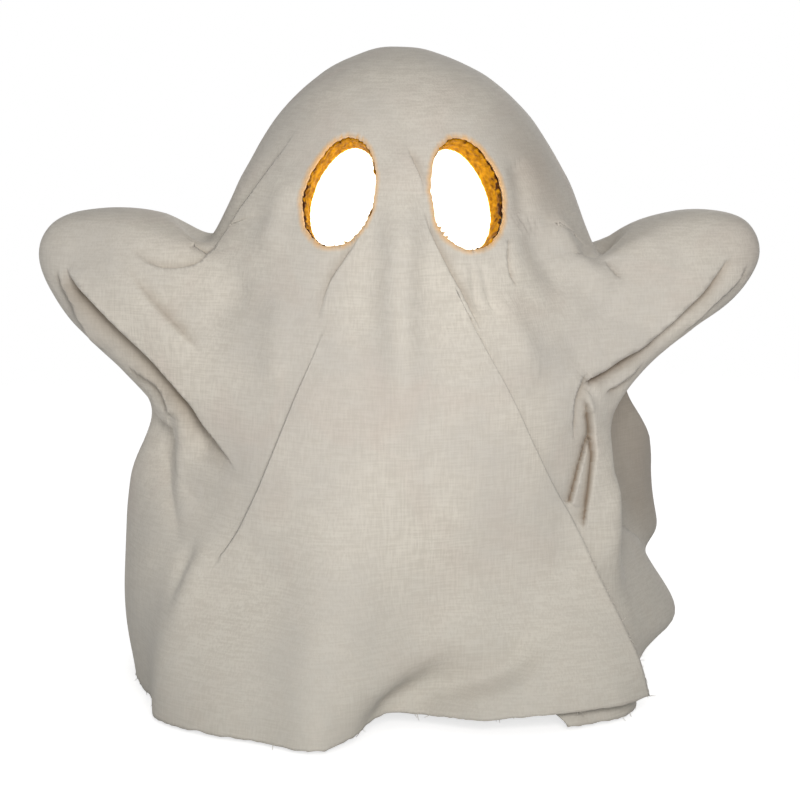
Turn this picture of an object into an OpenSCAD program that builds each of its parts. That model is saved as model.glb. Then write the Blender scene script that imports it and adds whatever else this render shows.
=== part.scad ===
// Lit ghost figure: a stiffened cloth drape over a moulded head shell and two
// arms, with eye openings that are lit from inside by a battery lamp.
// Millimetres, +Z up, +X to the figure's left hand as seen from the front (-Y).
// The origin is on the floor, under the axis of the support column.

/* [Drape] */
// Height of the cloth's crown above the floor
drape_h = 315; // [262:1:378]
// Thickness of the stiffened cloth
cloth_t = 1.6; // [1.2:0.1:2.2]
// Height of the hem above the floor
hem_z = 2; // [1:0.5:6]
// How far the cloth flares just below the head
neck_flare = 12; // [8:1:16]
// How far the cloth flares from the chest to the hem
skirt_flare = 40; // [30:1:50]
// How far the loose front panel stands off the layers beside it
panel_lift = 7; // [4:0.5:9]
// Gap between the cloth's crown and the head shell
seat_gap = 0.75; // [0.7:0.05:1]

/* [Head] */
// Radius of the head shell's round top
head_r = 56; // [50:1:58]
// Half angle of the head shell's cone, from the vertical
head_cone = 21; // [16:1:22]
// Height of the head shell
head_h = 98; // [94:1:104]
// Wall of the head shell
head_wall = 2.4; // [1.6:0.2:3.2]

/* [Eyes] */
// Half width of an eye collar's bore
eye_a = 17; // [14:0.5:18]
// Half height of an eye collar's bore
eye_b = 26; // [22:0.5:27]
// Wall of an eye collar
collar_wall = 2.4; // [1.6:0.2:3]
// Depth of an eye collar behind the cloth
collar_depth = 11.5; // [10:0.5:18]
// Margin of the cut in the cloth around a collar's bore
cut_margin = 1.6; // [0.8:0.2:2.2]
// Thickness of an eye lens
lens_t = 2; // [1.5:0.25:3]

/* [Arms and column] */
// Outside diameter of the support column
column_d = 38; // [32:1:44]
// Wall of the support column
column_wall = 2; // [1.5:0.25:3]
// Outside diameter of an arm tube
arm_d = 14; // [12:0.5:16]
// Wall of an arm tube
arm_wall = 1.6; // [1.2:0.2:2.4]
// Rise of an arm above the horizontal
arm_tilt = 12; // [8:0.5:15]
// Length from the column's axis to the centre of a hand cap
arm_len = 160; // [144:1:168]
// Radius of a hand cap
hand_r = 16.8; // [14:0.2:17]

/* [Base and lamp] */
// Radius of the base
base_r = 62; // [60:1:66]
// Height of the base with its feet
base_h = 36; // [34:0.5:44]
// Wall of the base housing
base_wall = 2.4; // [1.8:0.2:3.2]
// Thickness of the bottom cover
cover_t = 4; // [3.5:0.25:5]
// Height of the rubber feet below the cover
foot_h = 3; // [2:0.5:5]
// Diameter of a battery cell
cell_d = 14.5; // [14:0.1:14.5]
// Length of a battery cell with its contact nub
cell_len = 50.5; // [44:0.5:50.5]
// Radius of the lamp's frosted dome
lamp_r = 20; // [16:0.5:24]
// Travel of the switch slider
switch_travel = 4; // [2:0.5:4]

/* [Fits] */
// Gap between plastic parts that are pushed together
fit_gap = 0.2; // [0.1:0.05:0.3]
// Gap round the moving battery door and slider
move_gap = 0.4; // [0.3:0.05:0.6]

/* [Hidden] */
$fn = 64;

// Colours
cloth_colour = "#d2cbbb";
shell_colour = "#ece7da";
amber_colour = "#e0a020";
glow_colour = "#fff8e0";
frame_colour = "#d8d8d4";
dark_colour = "#3a3a3c";
metal_colour = "#b9bcc0";
brass_colour = "#c9a350";
board_colour = "#2f6b3f";
cell_colour = "#4b5a6b";
lead_colour = "#8a2c24";

// Head: heights down from the cloth's crown
head_top = drape_h - cloth_t - seat_gap;
head_cz = head_top - head_r;
head_z = head_top - head_h;
neck_t = 3;
neck_hub_h = 16;
neck_hub_wall = 3;
spigot_h = 6;
tangent_r = head_r * cos(head_cone);
tangent_z = head_cz + head_r * sin(head_cone);
function cone_r(z) = tangent_r + (tangent_z - z) * tan(head_cone);

// Arms hang from a collar just under the neck plate's hub
shoulder_h = 26;
shoulder_gap = 0.35;
shoulder_wall = 5;
socket_wall = 3;
socket_end = 46;
hub_r = column_d / 2 + fit_gap + neck_hub_wall;
socket_r = arm_d / 2 + fit_gap + socket_wall;
socket_rise = hub_r * tan(arm_tilt) + socket_r / cos(arm_tilt);
shoulder_z = head_z - neck_t - neck_hub_h - shoulder_gap - max(shoulder_h / 2, socket_rise);
arm_root = column_d / 2 + 3;
arm_end = arm_len - 4;
hand_x = arm_len * cos(arm_tilt);
hand_z = shoulder_z + arm_len * sin(arm_tilt);

// Base: heights up from the floor
cover_top = foot_h + cover_t;
base_top_t = 3;
socket_h = 20;
socket_ring = 4;
column_bottom = base_h;
column_top = head_z - neck_t;
lead_hole_r = 6;
screw_r = 1.5;
screw_head_r = 2.8;
screw_head_h = 1.6;
boss_r = 4;
base_screw_pitch = base_r - base_wall - boss_r - 1;
base_screw_angles = [0, 90, 180, 270];
foot_r = 6;
foot_pitch = base_r - foot_r - 3;
foot_angles = [45, 135, 225, 315];
foot_recess = 1;

// Battery well in the bottom cover
cell_pitch = cell_d + 0.8;
spring_len = 6.5;
plate_t = 0.5;
well_x = (3 * cell_pitch + 0.6) / 2;
well_y = (cell_len + spring_len) / 2 + plate_t;
well_wall = 2;
door_t = 2.3;
door_lap = 2;
cell_z = cover_top + 0.2 + cell_d / 2;
well_top = cell_z + cell_d / 2 + 0.8 + well_wall;
hinge_pin_r = 1;
barrel_r = 2;
running_gap = 0.05;
hinge_y = well_y + door_lap + barrel_r;
hinge_z = foot_h + barrel_r;
hinge_pin_len = 2 * (well_x + door_lap + 4);
hinge_rib_top = hinge_z + barrel_r + move_gap + 1.6;
door_x = well_x + door_lap;
door_front = -well_y - door_lap;

// Slide switch beside the battery well
switch_x = -(well_x + well_wall + 17);
slider_w = 6;
slider_len = 8;
slider_t = 2.8;
knob_w = 3.6;
knob_len = 4;
switch_wall = 1.4;
switch_roof = 2.2;
slot_len = knob_len + switch_travel + 2 * move_gap;
can_len = slider_len + switch_travel + 2 * move_gap;

// Lamp on the neck plate
cup_h = 10;
cup_wall = 2;
board_t = 1.6;
board_z = head_z + 5;
led_r = 2.4;
led_h = 3;
led_ring = 9;
lead_r = 1.5;

// Each eye: [place across, place along Y, height below the crown, yaw, pitch, roll]
left_eye = [-28.5, -69.5, 65, -19, 25, 3];
right_eye = [31, -68.5, 65.5, 27, 25, 1];

// Cloth drape: rings of cloth from the crown to the hem, counted as stations.
// The dome stations are [radius, drop below the crown], and the two neck stations are
// [share of the neck flare, drop below the dome].
DOME = [[0, 0], [16, 1.8], [38, 11.5], [57, 29], [71, 53]];
NECK = [[0.57, 21.7], [0.96, 43.3]];
dome_last = len(DOME) - 1;
neck_last = dome_last + len(NECK);
last = 16;
dome_r = DOME[dome_last][0];
dome_z = drape_h - DOME[dome_last][1];

// Profiles over each arm. Stations 5 to 7 run along the sleeve, as [share of the way
// from the neck to the hand, height above the hand]. Stations 8 to 12 go round the hand
// and back to the waist, as offsets from the hand's centre.
arm_first = 5;
neck_room = 20;
neck_r = cone_r(head_z) + neck_room;
LEFT_SLEEVE = [[0, 7], [0.35, 20], [0.87, 22.5]];
RIGHT_SLEEVE = [[0, 0], [0.33, 16], [0.85, 22]];
LEFT_HAND = [[15, 15.5], [22, -4], [7, -31], [-20, -57], [-35, -79]];
RIGHT_HAND = [[15, 16], [21.3, -4], [2.5, -28.5], [-36, -38], [-62, -54]];
hand_first = arm_first + len(LEFT_SLEEVE);
arm_last = hand_first + len(LEFT_HAND) - 1;
// Radii of the two flanks below the waist, for the stations after the arms
LEFT_FLANK = [133, 138, 139, 134];
RIGHT_FLANK = [96, 103, 113, 118];
// How far round the drape an arm's profile reaches at each station, in degrees
REACH = [45, 45, 45, 45, 45, 20, 16, 16, 16, 16, 15, 14, 17, 24, 30, 36, 40];
reach_power = 2.6;

function shade(d, reach) = 1 / (1 + pow(abs(d) / reach, reach_power));
function turn(a) = a - 360 * round(a / 360);
function mix(a, b, f) = a + (b - a) * f;
function ramp(x, a, b) = let (f = min(1, max(0, (x - a) / (b - a)))) f * f * (3 - 2 * f);
function bump(d, w) = exp(-d * d / (w * w));

// The bell that the cloth would make with no arms under it, as [radius, height]
function neck_ring(i) = let (n = NECK[i - dome_last - 1]) [dome_r + neck_flare * n[0], dome_z - n[1]];
function skirt_share(i) = (i - neck_last) / (last - neck_last);
function skirt(i) = let (top = neck_ring(neck_last))
    [top[0] + skirt_flare * pow(skirt_share(i), 1.1), mix(top[1], hem_z, skirt_share(i))];
function bell(i) = i <= dome_last
    ? [DOME[i][0], drape_h - DOME[i][1]]
    : i <= neck_last ? neck_ring(i) : skirt(i);

// The cloth over one arm, and down the flank under it
shoulder_slope = [6.6, -9];
function over_sleeve(p) = [mix(neck_r, hand_x, p[0]), hand_z + p[1]];
function over_hand(p) = [hand_x, hand_z] + p;
function down_flank(hand, flank, i) = let (waist = over_hand(hand[len(hand) - 1]))
    [flank[i - arm_last - 1], mix(waist[1], hem_z, (i - arm_last) / (last - arm_last))];
function limb(sleeve, hand, flank, i) = i < arm_first
    ? bell(i) + pow(i / dome_last, 3) * shoulder_slope
    : i < hand_first
        ? over_sleeve(sleeve[i - arm_first])
        : i <= arm_last ? over_hand(hand[i - hand_first]) : down_flank(hand, flank, i);

// Folds, as extra radius: the nose ridge, gathers under each arm, waves down the
// back, a deep fold behind the right arm with a strip in front of it, and the flat
// front with its hem waves
function nose(a, i) = 4 * bump(turn(a + 90), 7) * ramp(i, 3, 5) * (1 - ramp(i, 7, 12));
function gathers(d, i) = 3 * cos(d * 15) * bump(d, 24) * ramp(i, 9, 11) * (1 - ramp(i, 12, 15));
function back_waves(a, i) = 9.6 * cos((a - 90) * 5) * bump(turn(a - 97), 48) * ramp(i, 6, 13);
REAR_FOLD = [[10, 1], [11, 20], [12, 41], [13, 42], [14, 38.5], [15, 10], [16, 10]];
LOW_SKIRT = [[13, 0], [14, 13], [15, 22], [16, -12]];
FRONT_STRIP = [[10, 0], [11, 6], [12, 13], [13, 17], [14, 12], [15, 4], [16, 0]];
function rear_fold(a, i) = i < 10 ? 0 : lookup(i, REAR_FOLD) * bump(turn(a - 26), 14);
function low_skirt(a, i) = lookup(i, LOW_SKIRT) * bump(turn(a - 2), 20);
function head_right(a, i) = 4 * bump(turn(a - 5), 48) * ramp(i, 1, 3.4) * (1 - ramp(i, 4.6, 6));
function arm_web(a, i) = -5 * bump(turn(a + 13), 9) * bump(i - 10.1, 1.2);
function front_strip(a, i) = i < 10 ? 0 : lookup(i, FRONT_STRIP) * bump(turn(a + 26), 9);
function flat_front(a, i) = -27 * bump(turn(a + 75), 36) * ramp(i, 8, last);
function hem_wave(a, i) = 22.5 * bump(turn(a + 106), 12) * ramp(i, 10, last);
function hem_corner(a, i) = 11 * bump(turn(a + 143), 9) * ramp(i, 11, last);
function back_hem(a, i) = 6.5 * bump(turn(a - 90), 40) * ramp(i, 10, last);
function hem_left(a, i) = (17 * bump(turn(a + 128), 15) + 5 * bump(turn(a + 105), 7)) * ramp(i, 13, last);
function folds(a, i) = nose(a, i) + gathers(turn(a), i) + gathers(turn(a - 180), i)
    + back_waves(a, i) + rear_fold(a, i) + front_strip(a, i) + flat_front(a, i)
    + hem_wave(a, i) + hem_corner(a, i) + hem_left(a, i) + low_skirt(a, i) + head_right(a, i)
    + arm_web(a, i) + back_hem(a, i);
// The cloth sinks in the crook between the head and each arm
function crook(a, i) = (7 * bump(abs(turn(a - 180)) - 17, 9) + 11 * bump(abs(turn(a)) - 17, 9))
    * bump(i - 5.8, 0.6);

// Edges of the loose front panel, in degrees round from +X
function panel_right(i) = min(-77 + 5.8 * max(0, i - 6), -37 + 1.6 * (i - 13.6));
function panel_left(i) = -105.5 - max(0, min(4.8 * (i - 6), 25 + 1.1 * (i - 6)));
tuck = 2;
function lift(i) = panel_lift * (ramp(i, 6.5, 9.5) + ramp(i, 12.5, last)) / 2;
// The loose panel flares out to its free corner at the hem, and lifts off the table
HEM_FLARE = [[-104, 0], [-98, -8], [-92, -15], [-84, -4], [-71, 18], [-54, 23], [-42, 25],
    [-30, 24]];
FLARE_FROM = [[-100, 15], [-80, 14.7], [-60, 13.8], [-40, 12.8]];
HEM_RISE = [[-104, 0], [-96, 4], [-71, 6], [-54, 8]];
function hem_flare(a, i) = lookup(a, HEM_FLARE) * ramp(i, lookup(a, FLARE_FROM), last + 0.3);
function hem_rise(a, i) = lookup(a, HEM_RISE) * ramp(i, 13, last);

// Columns of cloth round the drape: the front panel, the right flank, the back and
// the left flank. The flanks and the back crowd towards the arms.
panel_cols = 12;
flank_cols = 8;
back_cols = 14;
function crowd(f) = pow(f, 1.5);
function crowd_both(f) = f < 0.5 ? crowd(2 * f) / 2 : 1 - crowd(2 - 2 * f) / 2;
function azimuths(i) = concat(
    [for (k = [0:panel_cols]) mix(panel_left(i), panel_right(i), k / panel_cols)],
    [for (k = [0:flank_cols - 1]) (panel_right(i) + tuck) * crowd(1 - k / flank_cols)],
    [for (k = [0:back_cols - 1]) 180 * crowd_both(k / back_cols)],
    [for (k = [0:flank_cols]) 180 + (180 + panel_left(i) - tuck) * crowd(k / flank_cols)]);
cols = panel_cols + 1 + flank_cols + back_cols + flank_cols + 1;

function drape_point(i, j) = let (
    a = azimuths(i)[j],
    base = bell(i),
    wl = shade(turn(a - 180), REACH[i]),
    wr = shade(turn(a), REACH[i]),
    p = base + wl * (limb(LEFT_SLEEVE, LEFT_HAND, LEFT_FLANK, i) - base)
        + wr * (limb(RIGHT_SLEEVE, RIGHT_HAND, RIGHT_FLANK, i) - base),
    loose = j <= panel_cols,
    r = p[0] + folds(a, i) + (loose ? mix(0.6, 1, j / panel_cols) * lift(i) + hem_flare(a, i) : 0))
    [r * cos(a), r * sin(a), p[1] - crook(a, i) + (loose ? hem_rise(a, i) : 0)];

function unit(v) = v / norm(v);
function drape_normal(g, i, j) = let (
    east = g[i][(j + 1) % cols] - g[i][(j + cols - 1) % cols],
    down = g[min(i + 1, last)][j] - g[i - 1][j])
    unit(cross(down, east));

// A closed skin between an outer grid and the same grid moved in by the cloth's thickness
module skin(outer, inner) {
    n = last * cols + 1;
    function at(i, j) = i == 0 ? 0 : 1 + (i - 1) * cols + j % cols;
    function quad(a, b, c, d) = [[a, b, c], [a, c, d]];
    points = concat([outer[0][0]], [for (i = [1:last], j = [0:cols - 1]) outer[i][j]],
        [inner[0][0]], [for (i = [1:last], j = [0:cols - 1]) inner[i][j]]);
    faces = concat(
        [for (j = [0:cols - 1]) [0, at(1, j + 1), at(1, j)]],
        [for (j = [0:cols - 1]) [n, n + at(1, j), n + at(1, j + 1)]],
        [for (i = [1:last - 1], j = [0:cols - 1])
            each quad(at(i, j), at(i, j + 1), at(i + 1, j + 1), at(i + 1, j))],
        [for (i = [1:last - 1], j = [0:cols - 1])
            each quad(n + at(i, j), n + at(i + 1, j), n + at(i + 1, j + 1), n + at(i, j + 1))],
        [for (j = [0:cols - 1])
            each quad(at(last, j), at(last, j + 1), n + at(last, j + 1), n + at(last, j))]);
    polyhedron(points, faces);
}

// Moves children to an eye's own frame, with +Z out of the face
module at_eye(eye) {
    translate([eye[0], eye[1], drape_h - eye[2]])
        rotate([0, 0, eye[3]])
            rotate([90 - eye[4], 0, 0])
                rotate([0, 0, -eye[5]])
                    children();
}

// Egg-shaped outline of an eye, grown by a margin
module egg(margin) {
    steps = 36;
    taper = 0.1;
    polygon([for (k = [0:steps - 1]) let (t = k * 360 / steps)
        [(eye_a + margin) * cos(t) * (1 - taper * sin(t)), (eye_b + margin) * sin(t)]]);
}

module eye_prism(margin, from, to) {
    translate([0, 0, from])
        linear_extrude(to - from)
            egg(margin);
}

module cloth_drape() {
    outer = [for (i = [0:last]) [for (j = [0:cols - 1]) drape_point(i, j)]];
    inner = [for (i = [0:last]) [for (j = [0:cols - 1])
        i == 0 ? outer[0][0] - [0, 0, cloth_t] : outer[i][j] - cloth_t * drape_normal(outer, i, j)]];
    color(cloth_colour)
        difference() {
            skin(outer, inner);
            for (eye = [left_eye, right_eye])
                at_eye(eye)
                    eye_prism(cut_margin, -30, 30);
        }
}

// Half outline of the head's form: a round top that runs into a cone
function head_outline(grow) = concat(
    [for (k = [0:14])
        let (t = mix(90, head_cone, k / 14))
            [(head_r + grow) * cos(t), head_cz + (head_r + grow) * sin(t)]],
    [[cone_r(head_z) + grow / cos(head_cone), head_z]]);

module head_form(grow) {
    rotate_extrude()
        polygon(concat(head_outline(grow), [[0, head_z]]));
}

module head_shell() {
    rim = [for (p = head_outline(0)) p];
    bore = [for (p = head_outline(-head_wall)) p];
    color(shell_colour)
        difference() {
            rotate_extrude()
                polygon(concat(rim, [for (k = [len(bore) - 1:-1:0]) bore[k]]));
            for (eye = [left_eye, right_eye])
                at_eye(eye)
                    eye_prism(collar_wall + fit_gap, -40, 40);
        }
}

collar_stand = 6;

module eye_collar(eye) {
    color(amber_colour)
        intersection() {
            at_eye(eye)
                difference() {
                    eye_prism(collar_wall, -collar_depth, 12);
                    eye_prism(0, -collar_depth - 1, 13);
                }
            head_form(collar_stand);
        }
}

module eye_lens(eye) {
    color(glow_colour)
        at_eye(eye)
            eye_prism(collar_wall, -collar_depth - lens_t, -collar_depth);
}

neck_screw_pitch = column_d / 2 + neck_hub_wall + 8;
neck_screw_angles = [90, 210, 330];

module neck_plate() {
    spigot_r = cone_r(head_z) - head_wall / cos(head_cone) - fit_gap - spigot_h * tan(head_cone);
    color(frame_colour)
        difference() {
            union() {
                translate([0, 0, head_z - neck_t])
                    cylinder(h = neck_t, r = cone_r(head_z));
                translate([0, 0, head_z - neck_t - neck_hub_h])
                    cylinder(h = neck_hub_h + 1, r = hub_r);
                translate([0, 0, head_z - 1])
                    difference() {
                        cylinder(h = spigot_h + 1, r = spigot_r);
                        translate([0, 0, -1])
                            cylinder(h = spigot_h + 3, r = spigot_r - head_wall);
                        translate([-spigot_r - 1, -spigot_r - 1, 1])
                            cube([2 * spigot_r + 2, spigot_r - 1, spigot_h + 1]);
                    }
            }
            translate([0, 0, head_z - neck_t - neck_hub_h - 1])
                cylinder(h = neck_hub_h + 1, r = column_d / 2 + fit_gap);
            translate([0, 0, head_z - neck_t - 1])
                cylinder(h = neck_t + 2, r = lead_hole_r);
            for (a = neck_screw_angles)
                rotate(a)
                    translate([led_ring + 5, 0, head_z - neck_t - 1])
                        cylinder(h = neck_t + 2, r = screw_r + fit_gap);
        }
}

// A pan-head screw whose head's under face is at the origin, with its shank down -Z
module screw(length) {
    translate([0, 0, -length])
        cylinder(h = length, r = screw_r, $fn = 24);
    cylinder(h = screw_head_h, r = screw_head_r, $fn = 24);
}

module neck_screws() {
    color(metal_colour)
        for (a = neck_screw_angles)
            rotate(a)
                translate([led_ring + 5, 0, head_z + cup_wall])
                    screw(neck_t + cup_wall - 0.5);
}

module support_column() {
    color(frame_colour)
        difference() {
            translate([0, 0, column_bottom])
                cylinder(h = column_top - column_bottom, r = column_d / 2);
            translate([0, 0, column_bottom - 1])
                cylinder(h = column_top - column_bottom + 2, r = column_d / 2 - column_wall);
        }
}

// Moves children to an arm's axis, with +Z out along the arm; side is 1 or -1
module along_arm(side) {
    translate([0, 0, shoulder_z])
        rotate([0, side * (90 - arm_tilt), 0])
            children();
}

arm_screw_s = socket_end - 8;

module shoulder_collar() {
    color(frame_colour)
        difference() {
            union() {
                translate([0, 0, shoulder_z - shoulder_h / 2])
                    cylinder(h = shoulder_h, r = column_d / 2 + fit_gap + shoulder_wall);
                for (side = [-1, 1])
                    along_arm(side)
                        translate([0, 0, column_d / 2])
                            cylinder(h = socket_end - column_d / 2, r = socket_r);
            }
            translate([0, 0, shoulder_z - shoulder_h])
                cylinder(h = 2 * shoulder_h, r = column_d / 2 + fit_gap);
            for (side = [-1, 1])
                along_arm(side) {
                    translate([0, 0, arm_root])
                        cylinder(h = socket_end, r = arm_d / 2 + fit_gap);
                    translate([0, 0, arm_screw_s])
                        rotate([90, 0, 0])
                            cylinder(h = arm_d + 2 * socket_wall, r = screw_r + fit_gap, $fn = 24);
                }
        }
}

module arm_screws() {
    color(metal_colour)
        for (side = [-1, 1])
            along_arm(side)
                translate([0, -socket_r, arm_screw_s])
                    rotate([90, 0, 0])
                        screw(socket_wall);
}

module arm(side) {
    color(frame_colour)
        along_arm(side)
            translate([0, 0, arm_root])
                difference() {
                    cylinder(h = arm_end - arm_root, r = arm_d / 2);
                    translate([0, 0, -1])
                        cylinder(h = arm_end - arm_root + 2, r = arm_d / 2 - arm_wall);
                }
}

module hand_cap(side) {
    color(frame_colour)
        along_arm(side)
            difference() {
                translate([0, 0, arm_len])
                    sphere(r = hand_r);
                translate([0, 0, arm_len - 2 * hand_r])
                    cylinder(h = arm_end + fit_gap - arm_len + 2 * hand_r, r = arm_d / 2 + fit_gap);
            }
}

module base_housing() {
    color(frame_colour)
        difference() {
            union() {
                difference() {
                    translate([0, 0, cover_top])
                        cylinder(h = base_h - cover_top, r = base_r);
                    translate([0, 0, cover_top - 1])
                        cylinder(h = base_h - base_top_t - cover_top + 1, r = base_r - base_wall);
                }
                for (a = base_screw_angles)
                    rotate(a)
                        translate([base_screw_pitch, 0, cover_top])
                            cylinder(h = base_h - cover_top - 1, r = boss_r);
                translate([0, 0, base_h - 1])
                    cylinder(h = socket_h + 1, r = column_d / 2 + fit_gap + socket_ring);
            }
            translate([0, 0, base_h])
                cylinder(h = socket_h + 1, r = column_d / 2 + fit_gap);
            translate([0, 0, base_h - base_top_t - 1])
                cylinder(h = base_top_t + 2, r = lead_hole_r);
            for (a = base_screw_angles)
                rotate(a)
                    translate([base_screw_pitch, 0, cover_top - 1])
                        cylinder(h = 13, r = screw_r + running_gap, $fn = 24);
        }
}

module base_cover() {
    color(frame_colour)
        difference() {
            union() {
                translate([0, 0, foot_h])
                    cylinder(h = cover_t, r = base_r);
                translate([-well_x - well_wall, -well_y - well_wall, foot_h + 1])
                    cube([2 * (well_x + well_wall), 2 * (well_y + well_wall), well_top - foot_h - 1]);
                translate([-hinge_pin_len / 2 - 1, well_y, foot_h + 1])
                    cube([
                        hinge_pin_len + 2,
                        hinge_y + barrel_r + move_gap + 1.6 - well_y,
                        hinge_rib_top - foot_h - 1]);
            }
            translate([-well_x, -well_y, foot_h - 1])
                cube([2 * well_x, 2 * well_y, well_top - well_wall - foot_h + 1]);
            translate([-door_x - move_gap, door_front - move_gap, foot_h - 1])
                cube([2 * (door_x + move_gap), hinge_y - door_front + move_gap, door_t + move_gap + 1]);
            translate([-door_x - move_gap, hinge_y, hinge_z])
                rotate([0, 90, 0])
                    cylinder(h = 2 * (door_x + move_gap), r = barrel_r + move_gap);
            translate([-door_x - move_gap, hinge_y - barrel_r - move_gap, foot_h - 1])
                cube([2 * (door_x + move_gap), 2 * (barrel_r + move_gap), hinge_z - foot_h + 1]);
            translate([-hinge_pin_len / 2, hinge_y, hinge_z])
                rotate([0, 90, 0])
                    cylinder(h = hinge_pin_len, r = hinge_pin_r + running_gap, $fn = 24);
            translate([0, door_front - move_gap, foot_h - 1])
                cylinder(h = 3, r = 7);
            translate([switch_x - knob_w / 2 - move_gap, -slot_len / 2, foot_h - 1])
                cube([knob_w + 2 * move_gap, slot_len, cover_t + 2]);
            for (a = base_screw_angles)
                rotate(a)
                    translate([base_screw_pitch, 0, foot_h - 1]) {
                        cylinder(h = cover_t + 2, r = screw_r + fit_gap, $fn = 24);
                        cylinder(h = screw_head_h + 1.4, r = screw_head_r + fit_gap, $fn = 24);
                    }
            for (a = foot_angles)
                rotate(a)
                    translate([foot_pitch, 0, foot_h - 1])
                        cylinder(h = foot_recess + 1, r = foot_r + fit_gap, $fn = 32);
        }
}

module base_screws() {
    color(metal_colour)
        for (a = base_screw_angles)
            rotate(a)
                translate([base_screw_pitch, 0, foot_h + screw_head_h + 0.4])
                    rotate([180, 0, 0])
                        screw(12);
}

module rubber_feet() {
    color(dark_colour)
        for (a = foot_angles)
            rotate(a)
                translate([foot_pitch, 0, 0])
                    cylinder(h = foot_h + foot_recess, r = foot_r, $fn = 32);
}

// Cells lie along Y and point by turns to the front and to the back
cell_ways = [1, -1, 1];
nub_r = 2.7;
nub_h = 1.5;
function cell_x(k) = (k - 1) * cell_pitch;
cell_tip = well_y - plate_t;

module battery_cells() {
    color(cell_colour)
        for (k = [0:2])
            translate([cell_x(k), cell_ways[k] * cell_tip, cell_z])
                rotate([cell_ways[k] * 90, 0, 0]) {
                    translate([0, 0, nub_h])
                        cylinder(h = cell_len - nub_h, r = cell_d / 2);
                    cylinder(h = nub_h + 1, r = nub_r, $fn = 32);
                }
}

// One coil of wire as an unbroken tube of rings along a helix
spring_wire = 0.4;
spring_r = 3.2;
spring_turns = 4;
ring_steps = 8;
tube_sides = 6;
function helix(t) = [spring_r * cos(360 * t), spring_r * sin(360 * t),
    spring_wire + (spring_len - 2 * spring_wire) * t / spring_turns];

module tube(path, radius, sides) {
    n = len(path);
    dirs = [for (k = [0:n - 1]) unit(path[min(k + 1, n - 1)] - path[max(k - 1, 0)])];
    across = [for (d = dirs) abs(d[2]) > 0.9 ? unit(cross(d, [0, 1, 0])) : unit(cross(d, [0, 0, 1]))];
    points = [for (k = [0:n - 1], s = [0:sides - 1])
        let (u = across[k], v = cross(dirs[k], u), t = 360 * s / sides)
        path[k] + radius * (u * cos(t) + v * sin(t))];
    ends = [[for (s = [0:sides - 1]) s], [for (s = [sides - 1:-1:0]) (n - 1) * sides + s]];
    walls = [for (k = [0:n - 2], s = [0:sides - 1])
        let (a = k * sides + s, b = k * sides + (s + 1) % sides)
            each [[a, a + sides, b + sides], [a, b + sides, b]]];
    polyhedron(points, concat(ends, walls));
}

module contact_springs() {
    path = [for (k = [0:spring_turns * ring_steps]) helix(k / ring_steps)];
    color(metal_colour)
        for (k = [0:2])
            translate([cell_x(k), -cell_ways[k] * cell_tip, cell_z])
                rotate([-cell_ways[k] * 90, 0, 0])
                    tube(path, spring_wire, tube_sides);
}

module contact_plates() {
    color(brass_colour)
        for (k = [0:2], side = [-1, 1])
            translate([cell_x(k) - 5, side > 0 ? well_y - plate_t : -well_y, cell_z - 5])
                cube([10, plate_t, 10]);
}

module battery_door() {
    color(frame_colour)
        difference() {
            union() {
                translate([-door_x, door_front, foot_h])
                    cube([2 * door_x, hinge_y - door_front, door_t]);
                translate([-door_x, hinge_y, hinge_z])
                    rotate([0, 90, 0])
                        cylinder(h = 2 * door_x, r = barrel_r);
            }
            translate([-door_x - 1, hinge_y, hinge_z])
                rotate([0, 90, 0])
                    cylinder(h = 2 * door_x + 2, r = hinge_pin_r + running_gap, $fn = 24);
        }
}

module door_hinge_pin() {
    color(metal_colour)
        translate([-hinge_pin_len / 2, hinge_y, hinge_z])
            rotate([0, 90, 0])
                cylinder(h = hinge_pin_len, r = hinge_pin_r, $fn = 24);
}

module switch_body() {
    color(dark_colour)
        difference() {
            translate([
                switch_x - slider_w / 2 - move_gap - switch_wall,
                -can_len / 2 - switch_wall,
                cover_top])
                cube([slider_w + 2 * (move_gap + switch_wall), can_len + 2 * switch_wall,
                    slider_t + 2 * move_gap + switch_roof]);
            translate([switch_x - slider_w / 2 - move_gap, -can_len / 2, cover_top - 1])
                cube([slider_w + 2 * move_gap, can_len, slider_t + 2 * move_gap + 1]);
        }
}

module switch_slider() {
    color("white")
        translate([switch_x, -switch_travel / 2, 0]) {
            translate([-slider_w / 2, -slider_len / 2, cover_top + move_gap])
                cube([slider_w, slider_len, slider_t]);
            translate([-knob_w / 2, -knob_len / 2, foot_h + 0.6])
                cube([knob_w, knob_len, cover_t + move_gap]);
        }
}

module lamp_cup() {
    color(frame_colour)
        difference() {
            translate([0, 0, head_z])
                cylinder(h = cup_h, r = lamp_r);
            translate([0, 0, head_z + cup_wall])
                cylinder(h = board_z - head_z, r = led_ring + 5 + screw_head_r + 1);
            translate([0, 0, board_z])
                cylinder(h = cup_h, r = lamp_r - cup_wall);
            translate([0, 0, head_z - 1])
                cylinder(h = cup_wall + 2, r = lead_hole_r);
            for (a = neck_screw_angles)
                rotate(a)
                    translate([led_ring + 5, 0, head_z - 1])
                        cylinder(h = cup_wall + 2, r = screw_r + fit_gap, $fn = 24);
        }
}

module led_board() {
    color(board_colour)
        difference() {
            translate([0, 0, board_z])
                cylinder(h = board_t, r = lamp_r - cup_wall - fit_gap);
            translate([0, 0, board_z - 1])
                cylinder(h = board_t + 2, r = lead_r + fit_gap, $fn = 24);
        }
}

module led_emitters() {
    color(glow_colour)
        for (a = [0:60:300])
            rotate(a)
                translate([led_ring, 0, board_z + board_t]) {
                    cylinder(h = led_h, r = led_r, $fn = 24);
                    translate([0, 0, led_h])
                        sphere(r = led_r, $fn = 24);
                }
}

module lamp_dome() {
    dome_wall = 1.6;
    color(glow_colour)
        translate([0, 0, head_z + cup_h])
            rotate_extrude()
                intersection() {
                    difference() {
                        circle(r = lamp_r);
                        circle(r = lamp_r - dome_wall);
                    }
                    square(lamp_r);
                }
}

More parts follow.
